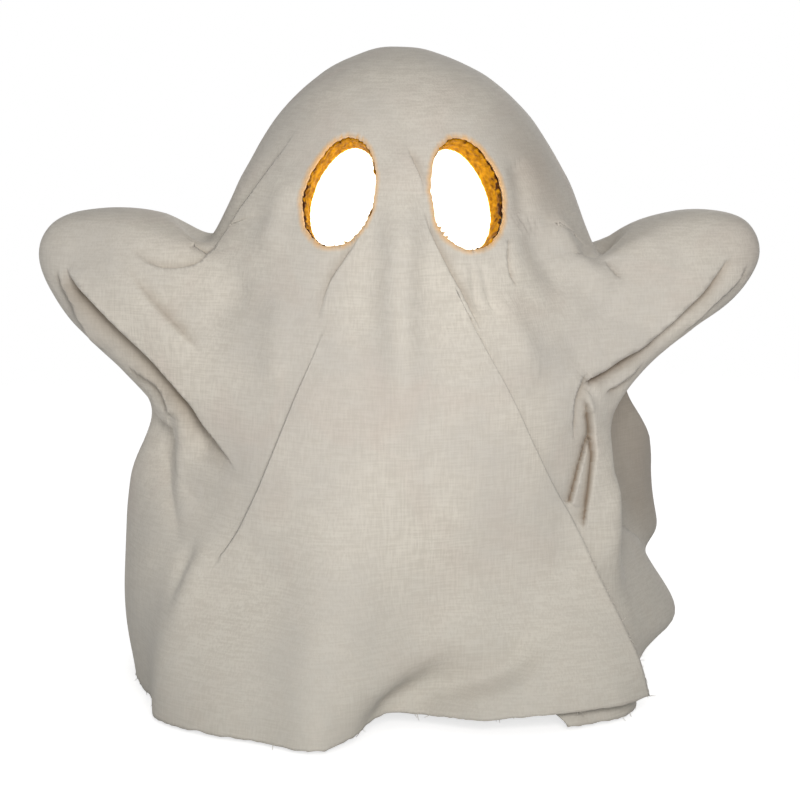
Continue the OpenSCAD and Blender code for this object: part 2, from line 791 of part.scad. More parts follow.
// The lamp's lead runs from the switch over the battery well and up the column
module lamp_lead() {
    switch_top = cover_top + slider_t + 2 * move_gap + switch_roof;
    over = (well_top + base_h - base_top_t) / 2;
    path = [[switch_x, 0, switch_top], [switch_x, 0, switch_top + 4], [switch_x + 2, 0, over - 3],
        [switch_x + 7, 0, over], [switch_x / 2, 0, over], [-9, 0, over],
        [-3, 0, over + 1.5], [0, 0, base_h],
        [0, 0, base_h + 8], [0, 0, mix(base_h, head_z, 0.5)], [0, 0, board_z + board_t]];
    color(lead_colour)
        tube(path, lead_r, 8);
}

cloth_drape();
head_shell();
eye_collar(left_eye);  // left_eye_collar
eye_collar(right_eye);  // right_eye_collar
eye_lens(left_eye);  // left_eye_lens
eye_lens(right_eye);  // right_eye_lens
neck_plate();
neck_screws();
support_column();
shoulder_collar();
arm_screws();
arm(-1);  // left_arm
arm(1);  // right_arm
hand_cap(-1);  // left_hand_cap
hand_cap(1);  // right_hand_cap
base_housing();
base_cover();
base_screws();
rubber_feet();
battery_cells();
contact_springs();
contact_plates();
battery_door();
door_hinge_pin();
switch_body();
switch_slider();
lamp_cup();
led_board();
led_emitters();
lamp_dome();
lamp_lead();
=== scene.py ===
import math

import bpy
import numpy as np
from mathutils import Matrix, Vector, kdtree, noise


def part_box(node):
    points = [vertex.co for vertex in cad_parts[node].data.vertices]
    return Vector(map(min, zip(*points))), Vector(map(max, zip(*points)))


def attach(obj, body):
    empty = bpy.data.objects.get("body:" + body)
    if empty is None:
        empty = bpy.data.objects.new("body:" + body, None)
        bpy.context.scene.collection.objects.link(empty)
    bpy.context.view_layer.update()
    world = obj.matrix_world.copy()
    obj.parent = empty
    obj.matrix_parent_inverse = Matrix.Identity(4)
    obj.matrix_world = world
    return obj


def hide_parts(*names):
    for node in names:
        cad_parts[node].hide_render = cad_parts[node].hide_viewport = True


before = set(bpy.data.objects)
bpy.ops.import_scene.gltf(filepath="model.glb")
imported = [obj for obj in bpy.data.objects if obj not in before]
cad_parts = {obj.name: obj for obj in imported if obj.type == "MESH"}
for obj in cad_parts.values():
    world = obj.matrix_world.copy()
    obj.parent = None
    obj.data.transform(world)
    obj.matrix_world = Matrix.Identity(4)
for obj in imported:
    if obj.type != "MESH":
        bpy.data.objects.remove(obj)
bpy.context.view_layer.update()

# Base: a round housing, the cover that closes it from below, and the battery door.
# Injection-moulded ABS with a fine spark-eroded grain, screwed together from below.
MM = 0.001


def linear(code):
    """Linear RGBA of an sRGB hex colour."""
    parts = [int(code[k:k + 2], 16) / 255 for k in (0, 2, 4)]
    return [c / 12.92 if c <= 0.04045 else ((c + 0.055) / 1.055) ** 2.4 for c in parts] + [1.0]


def add(tree, kind, inputs=(), **settings):
    """Adds one shader node with its settings, and fills or links its inputs."""
    made = tree.nodes.new("ShaderNode" + kind)
    for name, value in settings.items():
        setattr(made, name, value)
    for socket, value in dict(inputs).items():
        if isinstance(value, bpy.types.NodeSocket):
            tree.links.new(value, made.inputs[socket])
        else:
            made.inputs[socket].default_value = value
    return made


def new_finish(name):
    """An empty material and its node tree."""
    finish = bpy.data.materials.new(name)
    finish.use_nodes = True
    finish.node_tree.nodes.clear()
    return finish, finish.node_tree


def mottled(name, patch, detail, dark, light):
    """Starts a finish of two close colours in patches of some millimetres: its tree, patches and tone."""
    finish, tree = new_finish(name)
    place = add(tree, "TexCoord").outputs["Object"]
    patches = add(tree, "TexNoise", {"Vector": place, "Scale": 1 / (patch * MM), "Detail": detail})
    shares = patches.outputs["Fac"]
    tone = add(tree, "Mix", {0: shares, 6: linear(dark), 7: linear(light)}, data_type="RGBA")
    return finish, tree, shares, tone.outputs[2]


def surface(tree, inputs):
    """Ends a finish in one surface."""
    shader = add(tree, "BsdfPrincipled", inputs)
    add(tree, "OutputMaterial", {"Surface": shader.outputs[0]})


def coat(finish, *names):
    """Gives CAD pieces their finish."""
    for name in names:
        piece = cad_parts[name].data
        piece.materials.clear()
        piece.materials.append(finish)


# Moulded ABS: warm light grey, satin, with flow marks some 30 mm long and a 0.6 mm grain.
abs_grain, tree, _, tone = mottled("Moulded ABS, fine grain", 30, 3.0, "cfcfca", "dededa")
place = add(tree, "TexCoord").outputs["Object"]
grain = add(tree, "TexNoise", {"Vector": place, "Scale": 1 / (0.6 * MM), "Detail": 2.0})
dull = add(tree, "MapRange", {"Value": grain.outputs["Fac"], "To Min": 0.42, "To Max": 0.6})
pits = add(tree, "Bump", {"Height": grain.outputs["Fac"], "Strength": 0.25, "Distance": 0.05 * MM})
surface(tree, {
    "Base Color": tone, "Roughness": dull.outputs[0], "Normal": pits.outputs[0], "IOR": 1.53})
coat(abs_grain, "base_housing", "base_cover", "battery_door")

# Feet: four soft pads pressed into the cover.
# Moulded rubber, dark and matt, dusty where it is handled.
rubber, tree, dust, tone = mottled("Moulded rubber, matt", 4, 4.0, "303032", "47464a")
skin = add(tree, "Bump", {"Height": dust, "Strength": 0.3, "Distance": 0.1 * MM})
surface(tree, {"Base Color": tone, "Roughness": 0.85, "Normal": skin.outputs[0], "IOR": 1.5})
coat(rubber, "rubber_feet")

# Screws, hinge pin and battery springs: cold-headed screws, drawn pin and coiled wire.
# Zinc-plated steel, bright, with the faint cloud of the plating bath.
zinc, tree, cloud, tone = mottled("Zinc-plated steel", 1.5, 3.0, "aab0b8", "c8ccd2")
dull = add(tree, "MapRange", {"Value": cloud, "To Min": 0.25, "To Max": 0.42})
surface(tree, {"Base Color": tone, "Metallic": 1.0, "Roughness": dull.outputs[0]})
coat(zinc, "base_screws", "neck_screws", "arm_screws", "door_hinge_pin", "contact_springs")

# Cells: three round cells lying side by side in the well, along the figure's depth.
# Steel cans in a plain shrunk PVC wrap, with bare nickel ends.
wrap, tree = new_finish("PVC cell wrap")
low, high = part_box("battery_cells")
middle, half = (low.y + high.y) / 2, (high.y - low.y) / 2
place = add(tree, "TexCoord").outputs["Object"]
depth = add(tree, "SeparateXYZ", {0: place}).outputs["Y"]
off_middle = add(tree, "Math", {0: depth, 1: middle}, operation="SUBTRACT")
from_middle = add(tree, "Math", {0: off_middle.outputs[0]}, operation="ABSOLUTE")
BARE_END = 1.5 * MM
bare = add(tree, "Math", {0: from_middle.outputs[0], 1: half - BARE_END}, operation="GREATER_THAN")
rub = add(tree, "TexNoise", {"Vector": place, "Scale": 1 / (3 * MM), "Detail": 4.0})
film = add(tree, "Mix", {0: rub.outputs["Fac"], 6: linear("43525f"), 7: linear("566677")}, data_type="RGBA")
tone = add(tree, "Mix", {0: bare.outputs[0], 6: film.outputs[2], 7: linear("c4c2ba")}, data_type="RGBA")
dull = add(tree, "MapRange", {"Value": rub.outputs["Fac"], "To Min": 0.22, "To Max": 0.4})
surface(tree, {
    "Base Color": tone.outputs[2], "Metallic": bare.outputs[0], "Roughness": dull.outputs[0]})
coat(wrap, "battery_cells")

# Contact plates: stamped brass strips let into the ends of the battery well.
# Rolled brass, with grain along the strip and a little tarnish.
brass, tree = new_finish("Rolled brass")
place = add(tree, "TexCoord").outputs["Object"]
LONG, FINE = 6 * MM, 0.4 * MM
long_grain = add(tree, "Mapping", {"Vector": place, "Scale": (1 / LONG, 1 / FINE, 1 / FINE)})
streak = add(tree, "TexNoise", {"Vector": long_grain.outputs[0], "Scale": 1.0, "Detail": 3.0})
tone = add(tree, "Mix", {
    0: streak.outputs["Fac"], 6: linear("b08a3e"), 7: linear("d8b661")}, data_type="RGBA")
dull = add(tree, "MapRange", {"Value": streak.outputs["Fac"], "To Min": 0.22, "To Max": 0.45})
surface(tree, {"Base Color": tone.outputs[2], "Metallic": 1.0, "Roughness": dull.outputs[0]})
coat(brass, "contact_plates")

# Switch: a dark can on the inside of the cover, and a pale slider whose knob comes out of its slot.
# Glass-filled nylon can, slightly mottled; moulded acetal slider, smoother.

# Glass-filled nylon: near black, with fibres just under its skin.
nylon, tree, fibre, tone = mottled("Glass-filled nylon", 0.8, 5.0, "2c2c30", "48484c")
pits = add(tree, "Bump", {"Height": fibre, "Strength": 0.3, "Distance": 0.05 * MM})
surface(tree, {"Base Color": tone, "Roughness": 0.55, "Normal": pits.outputs[0], "IOR": 1.53})
coat(nylon, "switch_body")

# Moulded acetal: white and waxy, a little grimy.
acetal, tree, grime, tone = mottled("Moulded acetal", 1.2, 4.0, "e2e1da", "f2f1ec")
dull = add(tree, "MapRange", {"Value": grime, "To Min": 0.25, "To Max": 0.4})
surface(tree, {"Base Color": tone, "Roughness": dull.outputs[0], "IOR": 1.48})
coat(acetal, "switch_slider")

# Column, shoulder collar, arms, hand caps and neck plate: the frame that holds the cloth up.
# Extruded tubes and moulded joints in the same ABS as the base, pushed together and screwed.
coat(abs_grain, "support_column", "shoulder_collar", "left_arm", "right_arm", "left_hand_cap",
     "right_hand_cap", "neck_plate", "lamp_cup")

# Lamp: a round circuit board with six emitters under an opal dome.
# Glass-epoxy board in green solder resist, cast epoxy emitters, moulded opal acrylic.

# Solder resist: green and glossy, with the board's weave under it.
resist, tree = new_finish("Solder resist on glass epoxy")
place = add(tree, "TexCoord").outputs["Object"]
weave = add(tree, "TexVoronoi", {"Vector": place, "Scale": 1 / (0.8 * MM)})
tone = add(tree, "Mix", {
    0: weave.outputs["Distance"], 6: linear("24583a"), 7: linear("38774c")}, data_type="RGBA")
surface(tree, {"Base Color": tone.outputs[2], "Roughness": 0.3})
coat(resist, "led_board")

# Cast epoxy: clear and glossy, lit warm white from inside.
epoxy, tree, _, tone = mottled("Cast epoxy, lit", 0.7, 2.0, "ffe9b0", "fff8e0")
surface(tree, {
    "Base Color": tone, "Roughness": 0.15, "Emission Color": tone, "Emission Strength": 1.5})
coat(epoxy, "led_emitters")

# Opal acrylic: milky, and lit evenly.
opal, tree, _, tone = mottled("Opal acrylic, lit", 9, 2.0, "fff0cc", "fff9ea")
surface(tree, {
    "Base Color": tone, "Roughness": 0.35, "IOR": 1.49,
    "Emission Color": tone, "Emission Strength": 1.2})
coat(opal, "lamp_dome")

# Lamp lead: the wire from the switch up the column to the lamp.
# Stranded copper in soft red PVC, matt.
pvc, tree, _, tone = mottled("Soft PVC insulation", 5, 3.0, "7d2620", "963329")
surface(tree, {"Base Color": tone, "Roughness": 0.5, "IOR": 1.53})
coat(pvc, "lamp_lead")

# Head shell: the dome that gives the ghost its head.
# Vacuum-formed ivory ABS sheet, satin, trimmed by hand and glued over the neck plate's spigot.
ivory, tree, stretch, tone = mottled("Vacuum-formed ABS, ivory", 25, 3.0, "e2dccd", "efe9dc")
dull = add(tree, "MapRange", {"Value": stretch, "To Min": 0.35, "To Max": 0.5})
surface(tree, {"Base Color": tone, "Roughness": dull.outputs[0], "IOR": 1.53})
coat(ivory, "head_shell")

# Eye lenses: the lit panes at the back of each eye hole.
# Frosted acrylic with the lamp close behind, so bright that only the rim keeps any colour.
frosted, tree, _, tone = mottled("Frosted acrylic, lit from behind", 8, 2.0, "fff6dc", "fffdf4")
surface(tree, {
    "Base Color": tone, "Roughness": 0.6, "IOR": 1.49,
    "Emission Color": tone, "Emission Strength": 1.7})
coat(frosted, "left_eye_lens", "right_eye_lens")

# Cloth drape: one square of cotton thrown over the head and both hands, with its hem on the table.
# Plain-weave cotton dipped in stiffener and dried on the frame, so its folds stay as they fell.
# The front is slit from the neck down, and its loose panel lies over the right flank.

# The cloth is measured in stations, which are rings from the crown to the hem. Those of the dome
# are a radius and a drop below the crown, and those of the neck a share of its flare and a drop.
CROWN = 315.0
HEM = 2.0
CLOTH_T = 1.4
LAST = 16
DOME = [(0, 0), (16, 1.8), (38, 11.5), (57, 29), (71, 53)]
NECK = [(0.57, 21.7), (0.96, 43.3)]
HAND = np.array([156.5, 213.4])
NECK_R = 96.1
NECK_FLARE = 12.0
SKIRT_FLARE = 40.0
SKIRT_CURVE = 1.1
SHOULDER = np.array([6.6, -9])


def ramp(x, start, end):
    """0 before start, 1 after end, smooth between."""
    share = np.clip((x - start) / (end - start), 0, 1)
    return share * share * (3 - 2 * share)


def bump(offset, width):
    """1 where there is no offset, falling off smoothly over the width."""
    return np.exp(-(offset / width) ** 2)


def turn(angle):
    """The same angle between -180 and 180 degrees."""
    return (angle + 180) % 360 - 180


def bell_profile():
    """Radius and height of the cloth at each station, with no arm under it."""
    rings = [(r, CROWN - drop) for r, drop in DOME]
    dome_r, dome_z = rings[-1]
    rings += [(dome_r + NECK_FLARE * share, dome_z - drop) for share, drop in NECK]
    top_r, top_z = rings[-1]
    steps = LAST - len(rings) + 1
    for k in range(1, steps + 1):
        share = k / steps
        rings.append((top_r + SKIRT_FLARE * share ** SKIRT_CURVE, top_z + (HEM - top_z) * share))
    return np.array(rings)


def arm_profile(bell, sleeve, hand, flank):
    """The same over an arm: the sleeve, as shares of the way to the hand and heights above it, round
    the hand, as offsets from its centre, and down the flank, as radii."""
    neck = len(DOME) - 1
    rings = [bell[k] + (k / neck) ** 3 * SHOULDER for k in range(neck + 1)]
    rings += [np.array([NECK_R + (HAND[0] - NECK_R) * share, HAND[1] + rise]) for share, rise in sleeve]
    rings += [HAND + offset for offset in hand]
    waist = rings[-1][1]
    rings += [np.array([r, waist + (HEM - waist) * (k + 1) / len(flank)]) for k, r in enumerate(flank)]
    return np.array(rings)


def along(profile, station):
    """A smooth line through a profile's stations."""
    padded = np.vstack([profile[1] * (-1, 1), profile, 2 * profile[-1] - profile[-2]])
    k = np.minimum(station.astype(int), LAST - 1)
    f = (station - k)[:, None]
    a, b, c, d = (padded[k + n] for n in range(4))
    return b + 0.5 * f * (c - a + f * (2 * a - 5 * b + 4 * c - d + f * (3 * (b - c) + d - a)))


bell = bell_profile()
left_arm = arm_profile(
    bell, [(0, 7), (0.35, 20), (0.87, 22.5)],
    [(15, 15.5), (22, -4), (7, -31), (-20, -57), (-35, -79)], (133, 138, 139, 134))
right_arm = arm_profile(
    bell, [(0, 0), (0.33, 16), (0.85, 22)],
    [(15, 16), (21, -4), (1, -28), (-36, -37), (-62, -53)], (96, 103, 113, 118))
# How far round each arm its cloth reaches at each station, in degrees, and how sharply it ends.
ARM_END = 2.6
reach_at = [45, 45, 45, 45, 45, 20, 16, 16, 16, 16, 15, 14, 17, 24, 30, 36, 40]

# Rows of mesh from crown to hem, about as far apart along the cloth everywhere. The first lies just
# off the crown, where a fan of faces closes it.
ROWS = 250
FIRST = 0.05
fine = np.linspace(FIRST, LAST, 1600)
runs = [np.linalg.norm(np.diff(along(p, fine), axis=0), axis=1) for p in (bell, left_arm, right_arm)]
walked = np.concatenate([[0], np.cumsum(runs[0] * 2 + runs[1] + runs[2])])
station = np.interp(np.linspace(0, walked[-1], ROWS), walked, fine)


def smooth(run, times):
    """Evens out a run of values or points, and keeps its two ends."""
    for _ in range(times):
        run[1:-1] = (run[:-2] + 2 * run[1:-1] + run[2:]) / 4
    return run


def by_station(stations, values):
    """A smooth run of values through those given at some stations."""
    return smooth(np.interp(station, stations, values), 14)[:, None]


# Columns of mesh: the loose front panel, the right flank, the back and the left flank.
# The right flank starts under the panel, where the slit lets the panel lie over it. The panel's
# edges are in degrees, as are the overlap on the right and the tuck on the left of what lies under
# it, and it stands off that by its lift, in millimetres.
SLIT = 7.2
panel_right = by_station([6, 10, 11, 12, 12.6, 13.1, 13.6, 14.3, 15, 16],
                         [-77, -51.8, -44.9, -38.7, -36.9, -35.5, -35.2, -35.0, -35.2, -33.3])[:, 0]
below_neck = np.maximum(0, station - 6)
panel_left = -105.5 - np.minimum(4.8 * below_neck, 25 + 1.1 * below_neck)
left_fold = ramp(station, 7, 9.5) * (1 - ramp(station, 11.8, 13.4))
lift_right = 3.2 * ramp(station, 6.5, 9.5) + 3.5 * ramp(station, 12.5, LAST)
lift_left = 2.4 * left_fold
overlap = (-0.6 + 8.6 * ramp(station, SLIT - 1.2, 10) + 15 * ramp(station, 12.5, 15.4)
           - 4 * ramp(station, 15.4, LAST))
tuck = -0.6 + 1.6 * left_fold


def crowd(share):
    """Shares that lie closer together near 0, where an arm is."""
    return share ** 1.4


def crowd_both(share):
    """The same near 0 and near 1."""
    return np.where(share < 0.5, crowd(2 * share) / 2, 1 - crowd(np.maximum(0, 2 - 2 * share)) / 2)


PANEL, FLANK, BACK = 156, 140, 150
share = np.linspace(0, 1, PANEL + 1)
lift = lift_left[:, None] + (lift_right - lift_left)[:, None] * share
azimuth = [panel_left[:, None] + (panel_right - panel_left)[:, None] * share]
share = np.linspace(1, 0, FLANK + 1)[:-1]
azimuth.append((panel_right - overlap)[:, None] * crowd(share))
share = np.linspace(0, 1, BACK + 1)[:-1]
azimuth.append(np.broadcast_to(180 * crowd_both(share), (ROWS, BACK)))
share = np.linspace(0, 1, FLANK + 1)
azimuth.append(180 + (180 + panel_left + tuck)[:, None] * crowd(share))
azimuth = turn(np.hstack(azimuth))
COLUMNS = azimuth.shape[1]
flank_columns = slice(PANEL + 1, PANEL + 1 + FLANK)
on_panel = np.arange(COLUMNS) <= PANEL

reach = np.interp(station, np.arange(LAST + 1), reach_at)[:, None]
at_station = station[:, None]
over_left = 1 / (1 + (np.abs(turn(azimuth - 180)) / reach) ** ARM_END)
over_right = 1 / (1 + (np.abs(azimuth) / reach) ** ARM_END)
armless, left, right = (along(p, station)[:, None, :] for p in (bell, left_arm, right_arm))
ring = armless + over_left[..., None] * (left - armless) + over_right[..., None] * (right - armless)
radius = ring[..., 0].copy()
height = ring[..., 1].copy()


def swell(out, middle, width, start, end):
    """How far the cloth stands out about an azimuth, in millimetres, growing between two stations."""
    return out * bump(azimuth - middle, width) * ramp(at_station, start, end)


# The cloth sinks in the crook between the head and each arm, 17 degrees to each side of the arm.
for arm, sunk in ((180, 7.0), (0, 11.0)):
    height -= sunk * bump(np.abs(turn(azimuth - arm)) - 17, 9) * bump(at_station - 5.8, 0.6)
# The nose runs down into the chest, and the cloth gathers in pleats under each arm.
radius += swell(4, -90, 7, 3, 5) * (1 - ramp(at_station, 7, 12))
for arm in (0, 180):
    offset = turn(azimuth - arm)
    pleats = 3 * np.cos(np.radians(offset * 15)) * bump(offset, 24)
    radius += pleats * ramp(at_station, 9, 11) * (1 - ramp(at_station, 12, 15))
# The cloth stands a little off the right of the head.
radius += swell(4, 5, 48, 1, 3.4) * (1 - ramp(at_station, 4.6, 6))
# The back hangs in waves, and a deep fold stands out behind the right arm.
radius += swell(9.6, 97, 48, 6, 13) * np.cos(np.radians((azimuth - 90) * 5))
radius += swell(6.5, 90, 40, 10, LAST)
rear_fold = by_station([10.2, 10.8, 11.4, 12, 12.6, 13.2, 13.8, 14.3, 14.5, 14.75, 14.95, 15.3, 15.6, 16],
                       [0, 14, 32, 41, 42.5, 41, 39, 38, 29, 11, 10, 10, 10, 10])
radius += rear_fold * bump(azimuth - 26, 14)
# Below the right arm the skirt stands out to a lobe, with a hollow over it and a strip in front.
skirt = by_station([13, 13.8, 14.2, 14.5, 15, 15.3, 15.46, 15.6, 15.8, 16],
                   [0, 4, 8, 13, 23, 27, 27, 9, -16, -22])
radius += skirt * bump(azimuth - 2, 20)
radius -= 5 * bump(azimuth + 13, 9) * bump(at_station - 10.1, 1.2)
front_strip = by_station([9.6, 10.5, 11, 12, 12.6, 13.5, 14.5, 15.5], [0, 1, 6, 13, 17, 16, 8, 0])
radius += front_strip * bump(azimuth + 26, 9)
# The front hem: a lobe on the left, drawn in beside it, and flaring at the panel's free corner.
for out, middle, width, start in ((-27, -75, 36, 8), (22.5, -106, 12, 10), (11, -143, 9, 11),
                                  (17, -128, 15, 13), (5, -105, 7, 13)):
    radius += swell(out, middle, width, start, LAST)
hem_flare = np.interp(azimuth, [-104, -98, -92, -84, -71, -54, -42, -30], [0, -6, -10, -3, 18, 23, 25, 24])
flare_from = np.interp(azimuth, [-100, -80, -60, -40], [15, 14.7, 13.8, 12.8])
radius += np.where(on_panel, hem_flare * ramp(at_station, flare_from, LAST + 0.3), 0)
radius += np.where(on_panel, 0, swell(26, -41, 20, 14.4, LAST) + swell(6, -53, 5, 14.4, LAST))
radius[:, :PANEL + 1] += lift
# The panel's hem is raised off the table.
raised = np.interp(azimuth, [-104, -97, -90, -84, -71, -54], [0, 4.5, 5.5, 5, 6, 8])
height += np.where(on_panel, raised * ramp(at_station, 13, LAST), 0)
round_about = np.radians(azimuth)
cloth = np.stack([radius * np.cos(round_about), radius * np.sin(round_about), height], axis=-1)


def outward(grid):
    """Unit normals of the grid, out of the cloth, not mixed across the slit or the left fold."""
    down = np.gradient(grid, axis=0)
    panel, rest = grid[:, :PANEL + 1], grid[:, PANEL + 1:]
    east = np.hstack([np.gradient(panel, axis=1), np.gradient(rest, axis=1)])
    normal = np.cross(down, east)
    return normal / np.maximum(np.linalg.norm(normal, axis=-1, keepdims=True), 1e-9)


normal = outward(cloth).reshape(-1, 3)
cloth = cloth.reshape(-1, 3)
unfolded = cloth.copy()

# Painted shade lies in the deep fold behind the right arm and at the right of the head, and then under each
# fold's edge as it is drawn.
rear_fold_shade = 0.45 * ramp(azimuth, 2, 14) * (1 - ramp(azimuth, 26, 64))
rear_fold_shade = rear_fold_shade * ramp(at_station, 9.4, 11.4) * (1 - ramp(at_station, 13.8, 15))
head_side_shade = 0.3 * bump(azimuth + 33, 14) * bump(at_station - 3.9, 0.9)
crease_dirt = (rear_fold_shade + head_side_shade).ravel()

# The folds are drawn as lines on the cloth, in millimetres across and up. A line on the front
# finds the foremost layer only, so what lies under or behind it stays out of its way. A point
# faces a side if its normal leans that way, and the foremost layer is sought spot by spot. The
# flank is hidden where it lies inside the panel's edge, by some degrees.
INSIDE_EDGE = 0.3
LEANS = 0.15
SPOT = 4.0
LAYER = 9.0
hidden = np.zeros((ROWS, COLUMNS), bool)
hidden[:, flank_columns] = azimuth[:, flank_columns] < panel_right[:, None] - INSIDE_EDGE
hidden[station < SLIT] = False
hidden = hidden.ravel()
sides = {}
for name, axis, sign in (("front", 1, -1), ("back", 1, 1), ("right", 0, 1)):
    facing = np.flatnonzero((normal[:, axis] * sign > LEANS) & ~hidden)
    across = 1 - axis
    _, spot = np.unique(np.round(cloth[facing][:, (across, 2)] / SPOT), axis=0, return_inverse=True)
    foremost = np.full(spot.max() + 1, -np.inf)
    depth = cloth[facing, axis] * sign
    np.maximum.at(foremost, spot.ravel(), depth)
    facing = facing[depth > foremost[spot.ravel()] - LAYER]
    finder = kdtree.KDTree(len(facing))
    for k, index in enumerate(facing):
        finder.insert((cloth[index, across], cloth[index, 2], 0), k)
    finder.balance()
    sides[name] = (facing, finder)


# Points along a line are this far apart, in millimetres. A fold is rounded off past the ends of its
# line, and felt so far above and below it.
LINE_STEP = 1.5
ROUND_END = 6
FELT = 14


def line_on_cloth(points, side):
    """Points on the cloth along a drawn line, with their normals and tangents."""
    points = np.array(points, float)
    gaps = np.linalg.norm(np.diff(points, axis=0), axis=1)
    walked = np.concatenate([[0], np.cumsum(gaps)])
    steps = np.linspace(0, walked[-1], max(8, int(walked[-1] / LINE_STEP)))
    drawn = np.stack([np.interp(steps, walked, points[:, k]) for k in (0, 1)], axis=1)
    drawn = smooth(drawn, 12)
    facing, finder = sides[side]
    found = [facing[finder.find((p[0], p[1], 0))[1]] for p in drawn]
    on = smooth(unfolded[found], 10)
    out = smooth(normal[found], 10)
    tangent = np.gradient(on, axis=0)
    tangent /= np.linalg.norm(tangent, axis=1, keepdims=True)
    return on, out, tangent


def fade_ends(share, beyond, fade):
    """1 along the middle of a line, falling to 0 at its ends."""
    start, end = (max(part, 1e-5) for part in fade)
    along_line = ramp(share, -1e-6, start) * (1 - ramp(share, 1 - end, 1 + 1e-6))
    return along_line * bump(beyond, ROUND_END)


def near_line(points, side, margin, fade):
    """Cloth points near a line: which, how far to its right, that way, and how much they follow it."""
    on, out, tangent = line_on_cloth(points, side)
    inside = np.all((unfolded > on.min(0) - margin) & (unfolded < on.max(0) + margin), axis=1) & ~hidden
    which = np.flatnonzero(inside)
    gap = np.linalg.norm(unfolded[which, None, :] - on[None, :, :], axis=2)
    at = gap.argmin(axis=1)
    across = np.cross(tangent, out)[at]
    across /= np.linalg.norm(across, axis=1, keepdims=True)
    offset = unfolded[which] - on[at]
    same_way = np.clip((normal[which] * out[at]).sum(1), 0, 1) ** 0.5
    same_layer = bump((offset * out[at]).sum(1), FELT)
    in_line = fade_ends(at / (len(on) - 1), (offset * tangent[at]).sum(1), fade)
    strength = in_line * (same_way * same_layer)
    return which, (offset * across).sum(1), across, strength


# The widest gap of the mesh that a line crosses, in millimetres, the hand of a line on which a fold's
# upper layer lies, and the strip under its edge that is gathered, with the share by which it is.
WIDEST_GAP = 8
LEFT, RIGHT = -1, 1
TUCK = 2.4
GATHER = 0.75


def crossed_by(which, far):
    """The cloth points that a line passes closest to, one at each thread of the mesh it crosses."""
    field = np.full(ROWS * COLUMNS, np.nan)
    field[which] = far
    field = field.reshape(ROWS, COLUMNS)
    on_line = np.zeros((ROWS, COLUMNS), bool)
    for a, b in (((slice(None), slice(0, -1)), (slice(None), slice(1, None))),
                 ((slice(0, -1), slice(None)), (slice(1, None), slice(None)))):
        first, second = field[a], field[b]
        with np.errstate(invalid="ignore"):
            crossing = (first * second <= 0) & (np.abs(first) + np.abs(second) < WIDEST_GAP)
            nearer = np.abs(first) <= np.abs(second)
        on_line[a] |= crossing & nearer
        on_line[b] |= crossing & ~nearer
    return on_line.ravel()[which]


def fold_edge(points, upper, rise, spread, drop, under, lip=0.0, fade=(0.2, 0.2), side="front",
              dirt=1.0, painted_shade_width=4.0):
    """A fold whose edge lies over the cloth beside it. upper is the hand, RIGHT or LEFT of the line,
    on which the upper layer lies; it swells by rise, and the lower one sinks by drop and is gathered
    just under the edge, so that the step is steep."""
    which, right, across, strength = near_line(points, side, 3 * max(spread, under), fade)
    far = right * upper
    snapped = crossed_by(which, far) & (strength > 0.05)
    over = (far > 0) | snapped
    gathered = np.where(~over & (far > -TUCK), -upper * GATHER * (TUCK / 2 + far), 0)
    shift = np.where(snapped, -right, gathered) * np.minimum(1, 3 * strength)
    up = rise * np.exp(-(np.maximum(far, 0) / spread) ** 1.6)
    down = -drop * np.exp(-(np.maximum(-far, 0) / under) ** 2)
    hang = -upper * lip * np.exp(-(np.maximum(far, 0) / (3 * lip + 0.1)) ** 2)
    cloth[which] += normal[which] * (np.where(over, up, down) * strength)[:, None]
    cloth[which] += across * (shift + np.where(over, hang, 0) * strength)[:, None]
    # Painted shade darkens the lower layer just under the edge, over a given width.
    below = np.where(over, 0, np.exp(-(np.maximum(-far, 0) / painted_shade_width) ** 2))
    crease_dirt[which] += dirt * below * strength


def ridge(points, height, width, fade=(0.3, 0.3), power=2.0, side="front"):
    """A soft ridge along a line, or a groove where the height is negative."""
    which, right, _, strength = near_line(points, side, 3 * width, fade)
    shape = np.exp(-(np.abs(right) / width) ** power)
    cloth[which] += normal[which] * (height * shape * strength)[:, None]


# Left arm, front: the chest ends in a rim that runs from the head round a pocket at the neck, and
# the sleeve's edge hangs over a lower layer, with a pouch and a hanging roll below it.
fold_edge([(-47, 280), (-58, 264), (-69, 248), (-77, 237), (-85, 224), (-89, 218), (-93, 213),
           (-99, 210), (-106, 209), (-116, 209), (-123, 212), (-129, 216), (-135, 224)],
          upper=LEFT, rise=1.2, spread=12, drop=4.0, under=9, lip=0.9, fade=(0.4, 0.3), dirt=0.5)
fold_edge([(-108, 229), (-105, 224), (-100, 220), (-95, 218), (-90, 218)],
          upper=RIGHT, rise=0.8, spread=8, drop=2.0, under=5, lip=0.4, fade=(0.4, 0.1), dirt=0.2)
fold_edge([(-103, 221), (-97, 221), (-90, 221)],
          upper=LEFT, rise=0.6, spread=4, drop=1.2, under=3, fade=(0.2, 0.1), dirt=0.2)
fold_edge([(-164, 210), (-157, 205), (-152, 200), (-142, 190), (-127, 177), (-116, 167), (-104, 155),
           (-95, 143), (-85, 129), (-77, 116)],
          upper=LEFT, rise=3.0, spread=20, drop=9.0, under=12, lip=1.8, fade=(0.12, 0.25),
          dirt=1.2, painted_shade_width=11)
fold_edge([(-167, 208), (-165, 204), (-161, 192), (-154, 181), (-148, 172), (-145, 168)],
          upper=LEFT, rise=2.6, spread=8, drop=4.0, under=9, lip=1.0, fade=(0.2, 0.2))
ridge([(-147, 217), (-139, 208), (-127, 195), (-115, 182), (-106, 175), (-97, 169)],
      height=2.6, width=7)
fold_edge([(-133, 210), (-123, 198), (-112, 186), (-102, 177), (-94, 170)],
          upper=RIGHT, rise=1.0, spread=9, drop=2.0, under=8, fade=(0.4, 0.3), dirt=0.5)
fold_edge([(-134, 161), (-124, 158), (-116, 152), (-111, 144), (-110, 138)],
          upper=LEFT, rise=2.4, spread=9, drop=3.6, under=9, lip=0.8, fade=(0.3, 0.1), painted_shade_width=6)
